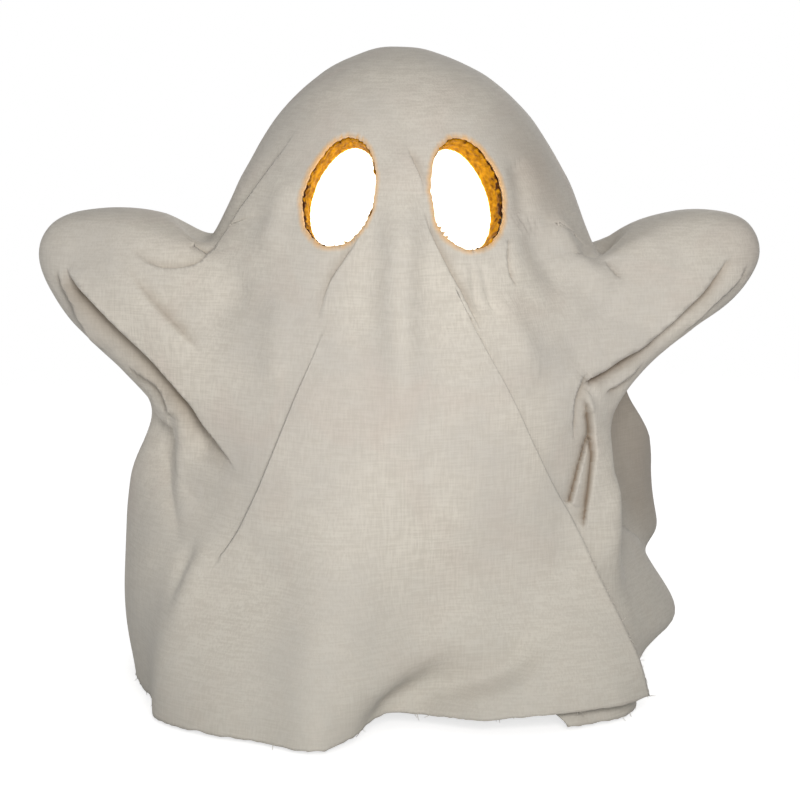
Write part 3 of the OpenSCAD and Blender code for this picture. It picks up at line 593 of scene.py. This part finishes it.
fold_edge([(-121, 139), (-116, 135), (-111, 132)],
          upper=LEFT, rise=1.6, spread=8, drop=3.0, under=7, lip=0.8, fade=(0.1, 0.2))
ridge([(-111, 132), (-115, 123), (-115, 115), (-115, 107), (-112, 97), (-108, 86), (-103, 74)],
      height=-3.0, width=4.0, fade=(0.1, 0.4), power=1.4)
ridge([(-116, 161), (-108, 148), (-104, 138), (-105, 122), (-107, 108), (-103, 90)],
      height=3.2, width=6)
ridge([(-107, 150), (-98, 138), (-97, 129), (-94, 114)], height=-3.0, width=6)
ridge([(-70, 210), (-84, 192), (-98, 178)], height=-2.4, width=10)
ridge([(-56, 206), (-58, 180), (-60, 155)], height=1.8, width=8)
ridge([(-52, 259), (-55, 245), (-61, 228), (-68, 215)], height=2.0, width=8)
ridge([(-88, 80), (-97, 73), (-99, 65), (-105, 51), (-112, 37)], height=2.0, width=7, fade=(0.15, 0.5))
ridge([(-96, 84), (-103, 74), (-106, 65), (-112, 50)], height=-2.2, width=5, fade=(0.25, 0.5))

# Right arm, front: the sleeve's edge and a rolled band face each other across a deep channel, and
# pleats turn down from them at the armpit, each lying over the one before it.
fold_edge([(163, 218), (154, 208), (147, 200), (139, 193), (130, 185), (123, 179), (117, 174),
           (110, 171), (104, 168), (98, 164), (91, 160), (86, 157)],
          upper=RIGHT, rise=2.5, spread=20, drop=9.0, under=6, lip=0.8, fade=(0.3, 0.15),
          dirt=1.8, painted_shade_width=4.5)
fold_edge([(130, 179), (124, 174), (119, 169), (114, 166), (108, 163), (101, 160), (95, 157),
           (90, 155)],
          upper=LEFT, rise=2.4, spread=6, drop=3.0, under=4, lip=0.4, fade=(0.35, 0.12), dirt=0.5)
fold_edge([(170, 211), (168, 208), (161, 199), (155, 195), (149, 189), (143, 183), (137, 176)],
          upper=RIGHT, rise=1.5, spread=6, drop=3.5, under=8, lip=1.0, fade=(0.2, 0.3))
fold_edge([(117, 164), (110, 160), (104, 156), (97, 153)],
          upper=RIGHT, rise=1.2, spread=5, drop=2.6, under=5, lip=0.6, fade=(0.3, 0.3))
fold_edge([(89, 163), (85, 161), (83, 158), (81, 149), (81, 141), (83, 129)],
          upper=RIGHT, rise=1.5, spread=12, drop=5.0, under=7, lip=0.6, fade=(0.2, 0.45), painted_shade_width=5)
fold_edge([(88, 153), (90, 148), (92, 142), (94, 129), (94, 118), (92, 108), (91, 98), (88, 86)],
          upper=LEFT, rise=1.8, spread=7, drop=3.6, under=5, lip=0.8, fade=(0.2, 0.12),
          dirt=1.4, painted_shade_width=2.2)
fold_edge([(94, 132), (91, 124), (87, 117), (84.5, 106), (82, 99)],
          upper=LEFT, rise=1.6, spread=6, drop=3.0, under=5, lip=0.8, fade=(0.25, 0.05),
          dirt=1.4, painted_shade_width=2.2)
ridge([(87, 157), (90, 149), (92, 141)], height=1.6, width=2.2)
fold_edge([(97, 214), (101, 208), (106, 203)],
          upper=RIGHT, rise=1.0, spread=8, drop=1.6, under=6, fade=(0.3, 0.5), dirt=0.3)
ridge([(72, 238), (79, 224), (86, 214), (95, 205), (106, 200)], height=3.2, width=7)
ridge([(60, 239), (65, 223), (72, 210), (83, 199)], height=-3.2, width=9)
ridge([(84, 195), (110, 186), (130, 190)], height=-1.6, width=10)

# Right flank: the skirt's edge lies over the deep fold behind it and runs down to the back.
fold_edge([(-42, 93), (-25, 83), (-5, 72), (14, 58)],
          upper=RIGHT, rise=2.5, spread=12, drop=5.0, under=12, lip=1.2, fade=(0.2, 0.25), side="right")

# Head and face: the nose, the folds beside it, and the small creases under the right eye.
fold_edge([(2, 271), (6, 263), (10, 256), (11, 248)],
          upper=RIGHT, rise=1.4, spread=9, drop=1.0, under=6, fade=(0.3, 0.5), dirt=0.4)
fold_edge([(10, 244), (12, 234), (17, 225), (21, 216), (26, 207), (32, 195), (39, 182)],
          upper=RIGHT, rise=2.0, spread=12, drop=1.4, under=9, fade=(0.25, 0.3), dirt=0.5)
fold_edge([(-16, 234), (-18, 229), (-25, 219), (-31, 212), (-34, 203), (-38, 188)],
          upper=LEFT, rise=1.6, spread=12, drop=1.4, under=9, fade=(0.3, 0.5), dirt=0.4)
ridge([(1, 251), (1, 233), (0, 215), (0, 193), (1, 171), (2, 140)],
      height=4.6, width=8, fade=(0.25, 0.6))
fold_edge([(50, 228), (50, 226), (49, 220), (49, 217), (50, 210), (54, 204)],
          upper=RIGHT, rise=1.0, spread=6, drop=1.6, under=4, fade=(0.15, 0.4), painted_shade_width=2)
ridge([(33, 221), (34, 212), (35, 201), (38, 192)], height=-1.4, width=1.8, power=1.3)
ridge([(36, 221), (39, 214), (41, 201), (46, 189)], height=-1.6, width=2.0, power=1.3)
ridge([(45, 205), (55, 185), (66, 160)], height=2.2, width=8)
ridge([(53, 269), (57, 257), (60, 243), (57, 230)], height=-3.0, width=7)

# The bottom of the front, where the loose panel swells before it flares out to its hem.
ridge([(-30, 18), (5, 33), (34, 46), (55, 66)], height=4.0, width=14)
ridge([(-22, 0), (-11, 9), (5, 18), (18, 24), (34, 26), (47, 30), (59, 37), (66, 47), (70, 60)],
      height=-7.0, width=9, fade=(0.2, 0.35))

# The back: long hanging folds between the hands and from the head.
ridge([(-140, 195), (-100, 160), (-60, 132), (-25, 118)], height=4.0, width=11, side="back")
ridge([(138, 196), (100, 165), (62, 138), (30, 122)], height=4.0, width=11, side="back")
ridge([(-60, 225), (-48, 180), (-40, 120), (-38, 50)],
      height=4.0, width=10, fade=(0.4, 0.3), side="back")
ridge([(52, 230), (40, 180), (34, 110), (36, 40)], height=4.0, width=10, fade=(0.4, 0.3), side="back")
ridge([(-8, 240), (-4, 180), (0, 100), (2, 30)], height=-3.0, width=12, side="back")

# Slight waves and dents that stiffened cloth keeps, and an uneven hem, by their size and height.
WAVE, WAVE_H = 45, 0.7
DENT, DENT_H = 14, 0.2
NICK, NICK_H = 7, np.array([[0.2], [0.6], [1.2]])
waves = np.array([noise.noise(Vector(p) / WAVE) for p in unfolded])
dents = np.array([noise.noise(Vector(p) / DENT) for p in unfolded])
cloth += normal * (WAVE_H * waves + DENT_H * dents)[:, None]
grid = cloth.reshape(ROWS, COLUMNS, 3)
hem_line = unfolded.reshape(ROWS, COLUMNS, 3)[-1]
uneven = np.array([noise.noise((p[0] / NICK, p[1] / NICK, 3.0)) for p in hem_line])
grid[-len(NICK_H):, :, 2] += np.abs(uneven) * NICK_H

# Where the flank lies under the panel, it keeps a gap inside it, down to where it nears the table.
# Past the panel's edge it is free.
PANEL_GAP = 2.6
NEAR_TABLE = 11
FREE = 400
for k in np.flatnonzero((station >= SLIT) & (armless[:, 0, 1] > NEAR_TABLE)):
    panel, flank = grid[k, :PANEL + 1], grid[k, flank_columns]
    panel_at, flank_at = (np.degrees(np.arctan2(part[:, 1], part[:, 0])) for part in (panel, flank))
    panel_r, flank_r = (np.hypot(part[:, 0], part[:, 1]) for part in (panel, flank))
    past_edge = flank_at - panel_at[-1]
    room = np.interp(flank_at, panel_at, panel_r) - PANEL_GAP * (1 - ramp(past_edge, 0, 2.5))
    room += FREE * ramp(past_edge, 0.5, 4)
    flank[:, :2] *= np.minimum(1, room / flank_r)[:, None]

# Eye openings, cut by hand: half their width and height, and for each eye its place across and
# along Y, its drop below the crown, and its yaw, pitch and roll. The cut lies a little outside that
# outline, ragged, and leans, widens at one side and is short at the bottom by each eye's own amount.
EYE_A, EYE_B = 17.0, 26.0
EGG = 0.1
EYES = {"left": (-28.5, -69.5, 65, -19, 25, 3), "right": (31, -68.5, 65.5, 27, 25, 1)}
CUT = 0.9
RAGGED = 0.6
RAGGED_LEVEL = {"left": 40.0, "right": 50.0}
LEAN = {"left": 0.9, "right": -0.5}
WIDEN = {"left": 0.0, "right": 1.1}
SHORTEN = {"left": 1.6, "right": 0.2}


def eye_frame(eye):
    """Turns an eye's own frame, with +Z out of the face, to the figure's, in millimetres."""
    x, y, drop, yaw, pitch, roll = EYES[eye]
    turned = Matrix.Translation((x, y, CROWN - drop))
    for degrees, axis in ((yaw, "Z"), (90 - pitch, "X"), (-roll, "Z")):
        turned = turned @ Matrix.Rotation(math.radians(degrees), 4, axis)
    return turned


def egg(angle, margin):
    """A point of the eye's outline, grown by a margin."""
    return np.stack([(EYE_A + margin) * np.cos(angle) * (1 - EGG * np.sin(angle)),
                     (EYE_B + margin) * np.sin(angle)], axis=-1)


def egg_angle(u, v):
    """The outline's own angle of the direction from the eye's centre to a point."""
    angle = np.arctan2(v / EYE_B, u / EYE_A)
    for _ in range(6):
        rim = egg(angle, 0.0)
        angle += 0.7 * np.radians(turn(np.degrees(np.arctan2(v, u) - np.arctan2(rim[..., 1], rim[..., 0]))))
    return angle


def round_noise(angle, times, level):
    """Noise round a closed outline, with about that many waves, at one level or at each point's own."""
    levels = np.broadcast_to(level, angle.shape)
    return np.array([noise.noise((times * math.cos(a), times * math.sin(a), z))
                     for a, z in zip(angle, levels)])


def cut_margin(eye, angle):
    """How far outside the outline the cloth was cut, in millimetres."""
    leaning = LEAN[eye] * np.sin(2 * angle) + WIDEN[eye] * bump(angle, 0.9)
    short = SHORTEN[eye] * bump(turn(np.degrees(angle) + 90), 40)
    level = RAGGED_LEVEL[eye]
    ragged = RAGGED * round_noise(angle, 3, level) + RAGGED * round_noise(angle, 11, level)
    return CUT + leaning - short + ragged


# How far each cloth point is from the cut, for those near an eye.
FAR = 1e3
EYE_DEPTH, EYE_REACH = 25, 45
cloth_in = np.zeros(len(cloth), bool)
eye_gap = np.full(len(cloth), FAR)
eye_place = {}
for eye in EYES:
    into = np.array(eye_frame(eye).inverted())
    local = cloth @ into[:3, :3].T + into[:3, 3]
    from_centre = np.hypot(local[:, 0], local[:, 1])
    close = np.flatnonzero((np.abs(local[:, 2]) < EYE_DEPTH) & (from_centre < EYE_REACH))
    angle = egg_angle(local[close, 0], local[close, 1])
    rim = egg(angle, cut_margin(eye, angle))
    gap = from_centre[close] - np.hypot(rim[:, 0], rim[:, 1])
    cloth_in[close] |= gap < 0
    eye_gap[close] = np.minimum(eye_gap[close], gap)
    eye_place[eye] = (close, local[close], rim, angle)

# Faces of the cloth, without those in an eye opening or across the slit. A face on a fold is
# split along the fold.
STEEP = 0.4
at = np.arange(ROWS * COLUMNS).reshape(ROWS, COLUMNS)
beside = np.roll(at, -1, axis=1)
quads = np.stack([at[:-1], at[1:], beside[1:], beside[:-1]], axis=-1)
whole = np.ones(quads.shape[:2], bool)
whole[:, PANEL] = station[1:] < SLIT
quads = quads[whole]
quads = quads[cloth_in[quads].sum(axis=1) < 2]
edges = np.sort(np.stack([quads, np.roll(quads, -1, axis=1)], axis=-1).reshape(-1, 2), axis=1)
lone, times = np.unique(edges, axis=0, return_counts=True)
border = np.unique(lone[times == 1])
rim_height = {}
for eye, (close, local, rim, angle) in eye_place.items():
    cut = np.isin(close, border)
    moved = local[cut].copy()
    moved[:, :2] = rim[cut]
    out_of = np.array(eye_frame(eye))
    cloth[close[cut]] = moved @ out_of[:3, :3].T + out_of[:3, 3]
    order = np.argsort(angle[cut])
    rim_height[eye] = (angle[cut][order], moved[order, 2])
folded = ((cloth - unfolded) * normal).sum(axis=1)[quads]
steep = np.ptp(folded, axis=1) > STEEP
first_way = np.abs(folded[:, 0] - folded[:, 2]) <= np.abs(folded[:, 1] - folded[:, 3])
faces = [tuple(q) for q in quads[~steep]]
for q, way in zip(quads[steep].tolist(), first_way[steep]):
    faces += [(q[0], q[1], q[2]), (q[0], q[2], q[3])] if way else [(q[0], q[1], q[3]), (q[1], q[2], q[3])]


def new_piece(name, points, faces, **values):
    """A smooth mesh from points in millimetres, with values at its points for its finish."""
    mesh = bpy.data.meshes.new(name)
    mesh.from_pydata(np.array(points) * MM, [], faces)
    for label, run in values.items():
        mesh.attributes.new(label, "FLOAT", "POINT").data.foreach_set("value", run.astype(np.float32))
    mesh.polygons.foreach_set("use_smooth", np.ones(len(mesh.polygons), bool))
    piece = bpy.data.objects.new(name, mesh)
    bpy.context.scene.collection.objects.link(piece)
    return piece


crown = len(cloth)
cloth = np.vstack([cloth, [[0, 0, cloth[:COLUMNS, 2].mean()]]])
faces += [(crown, k, (k + 1) % COLUMNS) for k in range(COLUMNS)]
drape = new_piece("ghost_cloth", cloth, faces,
                  crease_dirt=np.append(crease_dirt, 0), eye_gap=np.append(eye_gap, FAR))
bpy.context.view_layer.objects.active = drape
drape.select_set(True)
bpy.ops.object.mode_set(mode="EDIT")
bpy.ops.mesh.select_all(action="SELECT")
bpy.ops.mesh.delete_loose()
bpy.ops.object.mode_set(mode="OBJECT")
thickness = drape.modifiers.new("cloth thickness", "SOLIDIFY")
thickness.thickness = CLOTH_T * MM
thickness.offset = -1
bpy.ops.object.modifier_apply(modifier=thickness.name)

# Frayed threads: loose ends of single yarns along the panel's cut edge and the hem.
# Spun cotton, pulled out of the weave where the cloth was cut, and left hanging.

# Heights between which the panel's edge is frayed, the shares of its rows and of the hem's columns
# that have a thread, and the least and greatest length and radius of one, in millimetres.
FRAYED_FROM, FRAYED_TO = 8, 78
EDGE_SHARE, HEM_SHARE = 0.6, 0.06
THREAD_LONG, THREAD_R = (0.9, 3.2), (0.14, 0.24)
SPLAY, CURL, SAG = 0.45, 0.35, (0, 0, -0.3)
THREAD_ROOT = 0.7
THREAD_LOW = 0.4
SIDES, STEPS = 5, 5
pick = np.random.default_rng(5)
edge = grid[:, PANEL]
roots = [(edge[k], edge[k] - grid[k, PANEL - 1]) for k in range(ROWS)
         if FRAYED_FROM < edge[k, 2] < FRAYED_TO and pick.random() < EDGE_SHARE]
hem_columns = [k for k in range(COLUMNS) if pick.random() < HEM_SHARE]
roots += [(grid[-1, k], grid[-1, k] - grid[-3, k]) for k in hem_columns]
ends, end_faces = [], []
for root, way in roots:
    way = way / np.linalg.norm(way) + pick.normal(0, SPLAY, 3)
    way /= np.linalg.norm(way)
    long, thick = pick.uniform(*THREAD_LONG), pick.uniform(*THREAD_R)
    bend = pick.normal(0, CURL, 3) + SAG
    aside = np.cross(way, (0.3, 0.5, 0.8))
    aside /= np.linalg.norm(aside)
    other = np.cross(way, aside)
    start = len(ends)
    for step in range(STEPS):
        far = step / (STEPS - 1)
        middle = root - THREAD_ROOT * way + long * (far * way + far * far * bend)
        middle[2] = max(middle[2], THREAD_LOW)
        for k in range(SIDES):
            turned = 2 * math.pi * k / SIDES
            spoke = math.cos(turned) * aside + math.sin(turned) * other
            ends.append(middle + thick * (1 - 0.5 * far) * spoke)
    for step in range(STEPS - 1):
        for k in range(SIDES):
            a, b = start + step * SIDES + k, start + step * SIDES + (k + 1) % SIDES
            end_faces.append((a, b, b + SIDES, a + SIDES))
    end_faces.append(tuple(range(start + SIDES - 1, start - 1, -1)))
    end_faces.append(tuple(range(start + (STEPS - 1) * SIDES, start + STEPS * SIDES)))
threads = new_piece("frayed_threads", ends, end_faces, eye_gap=np.full(len(ends), FAR))

# Stiffened cotton: dull off-white, greyer and pinker in patches where the stiffener dried, greyer towards
# the hem, with painted shade in brown under the folds and painted warm light along the cut of the lit eyes.
# Its threads lie 0.5 mm apart, drawn 0.8 mm so that they show.
cotton, tree = new_finish("Stiffened plain-weave cotton")
place = add(tree, "TexCoord").outputs["Object"]
stain = add(tree, "TexNoise", {"Vector": place, "Scale": 1 / (60 * MM), "Detail": 4.0, "Roughness": 0.55})
blush = add(tree, "TexNoise", {"Vector": place, "Scale": 1 / (38 * MM), "Detail": 3.0, "Distortion": 0.6})
blotch = add(tree, "TexNoise", {"Vector": place, "Scale": 1 / (7 * MM), "Detail": 3.0})
even = add(tree, "MapRange", {"Value": stain.outputs["Fac"], "From Min": 0.36, "From Max": 0.64})
tone = add(tree, "Mix", {0: even.outputs[0], 6: linear("cbc6be"), 7: linear("dbd5ca")}, data_type="RGBA")
pink = add(tree, "MapRange", {
    "Value": blush.outputs["Fac"], "From Min": 0.52, "From Max": 0.74, "To Max": 0.6})
up = add(tree, "SeparateXYZ", {0: place}).outputs["Z"]
# Greyer towards the hem, from 130 mm down to 10 mm above the table.
low_grey = add(tree, "MapRange", {"Value": up, "From Min": 130 * MM, "From Max": 10 * MM, "To Max": 0.7})
spot = add(tree, "MapRange", {
    "Value": blotch.outputs["Fac"], "From Min": 0.3, "From Max": 0.7, "To Max": 0.3})
# Painted shade, mixed towards dark brown: in the deep fold behind the right arm, at the right of the head
# and under each fold's edge.
dirt = add(tree, "Attribute", attribute_name="crease_dirt")
fold_shade_share = add(tree, "MapRange", {"Value": dirt.outputs["Fac"], "To Max": 0.85})
# Painted warm light from the lit eyes, on the cloth within some 3 mm of the cut.
cut = add(tree, "Attribute", attribute_name="eye_gap")
eye_glow_share = add(tree, "MapRange", {
    "Value": cut.outputs["Fac"], "From Min": 0.0, "From Max": 3.2, "To Min": 0.65, "To Max": 0.0},
    interpolation_type="SMOOTHSTEP")
THREAD, RUN = 0.8 * MM, 9 * MM
warp_place = add(tree, "VectorMath", {0: place, 1: (1 / THREAD, 1 / THREAD, 1 / RUN)}, operation="MULTIPLY")
weft_place = add(tree, "VectorMath", {0: place, 1: (1 / RUN, 1 / RUN, 1 / THREAD)}, operation="MULTIPLY")
warp = add(tree, "TexNoise", {"Vector": warp_place.outputs[0], "Scale": 1.0, "Detail": 1.0})
weft = add(tree, "TexNoise", {"Vector": weft_place.outputs[0], "Scale": 1.0, "Detail": 1.0})
weave = add(tree, "Math", {0: warp.outputs["Fac"], 1: weft.outputs["Fac"]}, operation="ADD")
shade = add(tree, "MapRange", {
    "Value": weave.outputs[0], "From Min": 0.8, "From Max": 1.2, "To Min": 0.3, "To Max": 0.0})
shade = add(tree, "Math", {0: shade.outputs[0], 1: stain.outputs["Fac"]}, operation="MULTIPLY")
for share, colour in ((pink, "d0c5bb"), (low_grey, "bab7ae"), (spot, "c8c1b6"), (fold_shade_share, "7f6c58"),
                      (eye_glow_share, "f0b45a"), (shade, "8d8375")):
    tone = add(tree, "Mix", {0: share.outputs[0], 6: tone.outputs[2], 7: linear(colour)}, data_type="RGBA")
weave_bump = add(tree, "Bump", {"Height": weave.outputs[0], "Strength": 0.5, "Distance": 0.2 * MM})
surface(tree, {
    "Base Color": tone.outputs[2], "Roughness": 0.92, "Normal": weave_bump.outputs[0], "IOR": 1.45,
    "Specular IOR Level": 0.2, "Sheen Weight": 0.1, "Sheen Roughness": 0.5})
drape.data.materials.append(cotton)
threads.data.materials.append(cotton)
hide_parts("cloth_drape")
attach(drape, "ghost")
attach(threads, "ghost")

# Eye collars: the rough rims between the cloth's cut edge and the lens.
# Amber resin brushed into the cut, chipped and scorched along its front, and lit by the lens.

# The rim's front lies a little behind the cut, and its wall runs back to the lens. It is most charred on
# one side of each eye, given in degrees, and painted bright yellow beside the lens as a glow of the lamp's
# light.
RIM_BACK = -11.4
RIM_WALL = 2.2
RIM_SUNK, RIM_BEVEL = 1.75, 0.9
MOUTH_INSET, LENS_GAP, CHIP = 0.6, 0.15, 0.7
ROUND, DEEP = 220, 14
CHARRED = {"left": 213, "right": -8}
LENS_GLOW = -1.0
rim_pieces = {}
for eye in EYES:
    angle = np.linspace(-math.pi, math.pi, ROUND, endpoint=False)
    seen_at, seen_height = rim_height[eye]
    front = np.interp(angle, seen_at, seen_height, period=2 * math.pi) - RIM_SUNK
    front = np.mean([np.roll(front, k) for k in range(-3, 4)], axis=0)
    mouth = cut_margin(eye, angle)
    rings, scorch = [], []
    for j in range(DEEP):
        deep = j / (DEEP - 1)
        level = front + (RIM_BACK - front) * deep
        chips = round_noise(angle, 13, level / 2.2) + 0.6 * round_noise(angle, 30, level / 1.1 + 7)
        flakes = round_noise(angle, 4, level / 6 + 3)
        margin = (mouth - MOUTH_INSET) * (1 - deep) - LENS_GAP * deep
        margin -= CHIP * np.maximum(chips, -0.3) * (1 - 0.5 * deep)
        rings.append(np.column_stack([egg(angle, margin), level]))
        charred = 1.05 * bump(turn(np.degrees(angle) - CHARRED[eye]), 42)
        scorched = ramp(0.9 * chips + 0.8 * flakes - 2.0 * deep - 0.05 + charred, 0.15, 0.6)
        # The ring against the lens carries the painted glow mark instead of scorch.
        scorch.append(scorched if deep < 1 else np.full(ROUND, LENS_GLOW))
    rings.append(np.column_stack([egg(angle, RIM_WALL), np.full(ROUND, RIM_BACK)]))
    rings.append(np.column_stack([egg(angle, RIM_WALL), front - RIM_BEVEL]))
    scorch += [np.zeros(ROUND), np.ones(ROUND)]
    rim_faces = []
    for j in range(len(rings)):
        this, behind = j * ROUND, (j + 1) % len(rings) * ROUND
        for k in range(ROUND):
            after = (k + 1) % ROUND
            rim_faces.append((this + k, behind + k, behind + after, this + after))
    out_of = np.array(eye_frame(eye))
    placed = np.vstack(rings) @ out_of[:3, :3].T + out_of[:3, 3]
    rim_pieces[eye] = new_piece(eye + "_eye_rim", placed, rim_faces, scorch=np.concatenate(scorch))

# Chipped amber resin: gold where the lamp shines through it, brown streaks, black-brown at the chips, with
# a painted yellow glow beside the lens and a faint painted glow all over.
amber, tree = new_finish("Chipped amber resin, lit")
place = add(tree, "TexCoord").outputs["Object"]
chips = add(tree, "TexVoronoi", {"Vector": place, "Scale": 1 / (2.5 * MM)})
streak = add(tree, "TexNoise", {"Vector": place, "Scale": 1 / (3 * MM), "Detail": 4.0})
thick = add(tree, "MapRange", {"Value": streak.outputs["Fac"], "From Min": 0.32, "From Max": 0.68})
gold = add(tree, "Mix", {0: thick.outputs[0], 6: linear("7a4c00"), 7: linear("c88c00")}, data_type="RGBA")
burnt_and_glow = add(tree, "Attribute", attribute_name="scorch").outputs["Fac"]
tone = add(tree, "Mix", {0: burnt_and_glow, 6: gold.outputs[2], 7: linear("3d1f06")}, data_type="RGBA")
# Painted glow: bright yellow beside the lens.
lens_glow_share = add(tree, "MapRange", {"Value": burnt_and_glow, "From Min": -0.2, "From Max": LENS_GLOW})
tone = add(tree, "Mix", {
    0: lens_glow_share.outputs[0], 6: tone.outputs[2], 7: linear("ffd83c")}, data_type="RGBA")
rough = add(tree, "Bump", {"Height": chips.outputs["Distance"], "Strength": 0.6, "Distance": 0.5 * MM})
# The faint emission is painted glow of the lamp's light through the resin.
surface(tree, {
    "Base Color": tone.outputs[2], "Roughness": 0.55, "Normal": rough.outputs[0], "IOR": 1.54,
    "Specular IOR Level": 0.05, "Emission Color": tone.outputs[2], "Emission Strength": 0.12})
for eye, piece in rim_pieces.items():
    piece.data.materials.append(amber)
    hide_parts(eye + "_eye_collar")
    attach(piece, "ghost")

# Stage: a pale table top that runs out into a white studio.
# Soft lights stand in front of the figure, at its left and behind it.
FLOOR_R = 1.1
floor_mesh = bpy.data.meshes.new("table_top")
floor_round = [math.radians(a) for a in range(0, 360, 5)]
floor_rim = [(FLOOR_R * math.cos(a), FLOOR_R * math.sin(a), 0) for a in floor_round]
floor_mesh.from_pydata(floor_rim, [], [tuple(range(len(floor_rim)))])
floor = bpy.data.objects.new("table_top", floor_mesh)
bpy.context.scene.collection.objects.link(floor)


def seen_directly(tree):
    """1 for what the camera sees, straight or in gloss or glass, and 0 for what only lights the object."""
    ray = add(tree, "LightPath").outputs
    seen = add(tree, "Math", {0: ray["Is Camera Ray"], 1: ray["Is Glossy Ray"]}, operation="MAXIMUM")
    seen = add(tree, "Math", {0: seen.outputs[0], 1: ray["Is Transmission Ray"]}, operation="MAXIMUM")
    return seen.outputs[0]


# White laminate: matt and even, shown as bright as the studio, and clear towards its edge.
laminate, tree = new_finish("White laminate")
place = add(tree, "TexCoord").outputs["Object"]
sweep = add(tree, "TexNoise", {"Vector": place, "Scale": 2.0})
tone = add(tree, "Mix", {
    0: sweep.outputs["Fac"], 6: linear("d2d2d2"), 7: linear("d8d8d8")}, data_type="RGBA")
lit = add(tree, "BsdfDiffuse", {"Color": tone.outputs[2]})
glow = add(tree, "Emission", {"Color": linear("ffffff"), "Strength": 0.72})
bright = add(tree, "AddShader", {0: lit.outputs[0], 1: glow.outputs[0]})
shown = add(tree, "MixShader", {0: seen_directly(tree), 1: lit.outputs[0], 2: bright.outputs[0]})
out = add(tree, "VectorMath", {0: place}, operation="LENGTH")
edge_fade = add(tree, "MapRange", {
    "Value": out.outputs["Value"], "From Min": 0.3, "From Max": 1.0}, interpolation_type="SMOOTHSTEP")
clear = add(tree, "BsdfTransparent")
open_edge = add(tree, "MixShader", {0: edge_fade.outputs[0], 1: shown.outputs[0], 2: clear.outputs[0]})
add(tree, "OutputMaterial", {"Surface": open_edge.outputs[0]})
floor_mesh.materials.append(laminate)

# The studio is white where it is seen, and lights the figure softly from all round.
studio = bpy.data.worlds.new("studio")
studio.use_nodes = True
tree = studio.node_tree
tree.nodes.clear()
level = add(tree, "MapRange", {"Value": seen_directly(tree), "To Min": 0.26, "To Max": 1.0})
sky = add(tree, "Background", {"Color": linear("ffffff"), "Strength": level.outputs[0]})
add(tree, "OutputWorld", {"Surface": sky.outputs[0]})
bpy.context.scene.world = studio

AIM = Vector((0, 0, CROWN / 2 * MM))


def soft_light(name, place, size, power, colour):
    """A square lamp of a size in metres, facing the figure."""
    lamp = bpy.data.lights.new(name, "AREA")
    lamp.size, lamp.energy, lamp.color = size, power, linear(colour)[:3]
    rig = bpy.data.objects.new(name, lamp)
    rig.location = place
    rig.rotation_euler = (AIM - rig.location).to_track_quat("-Z", "Y").to_euler()
    bpy.context.scene.collection.objects.link(rig)


soft_light("key", Vector((0.08, -0.92, 0.42)), 0.35, 5.8, "fffdfa")
soft_light("fill", Vector((-1.2, 0.1, 0.25)), 0.7, 2.2, "ffffff")
soft_light("behind", Vector((0.4, 1.4, 0.6)), 0.9, 9.0, "ffffff")

# Camera: 9 degrees above the table and 1.15 m from the figure.
# The focal length and the slide of the frame are in pixels of a picture 800 pixels wide.
ELEVATION = math.radians(9)
DISTANCE = 1.15
SENSOR = 36
PICTURE = 800
FOCAL = 2300
SLIDE = -35.1
camera = bpy.data.objects.new("camera", bpy.data.cameras.new("camera"))
back = Vector((0, -math.cos(ELEVATION), math.sin(ELEVATION)))
camera.location = AIM + DISTANCE * back
camera.rotation_euler = back.to_track_quat("Z", "Y").to_euler()
camera.data.lens = SENSOR * FOCAL / PICTURE
camera.data.sensor_width = SENSOR
camera.data.shift_y = SLIDE / PICTURE
bpy.context.scene.collection.objects.link(camera)
bpy.context.scene.camera = camera
bpy.context.scene.view_settings.view_transform = "Standard"
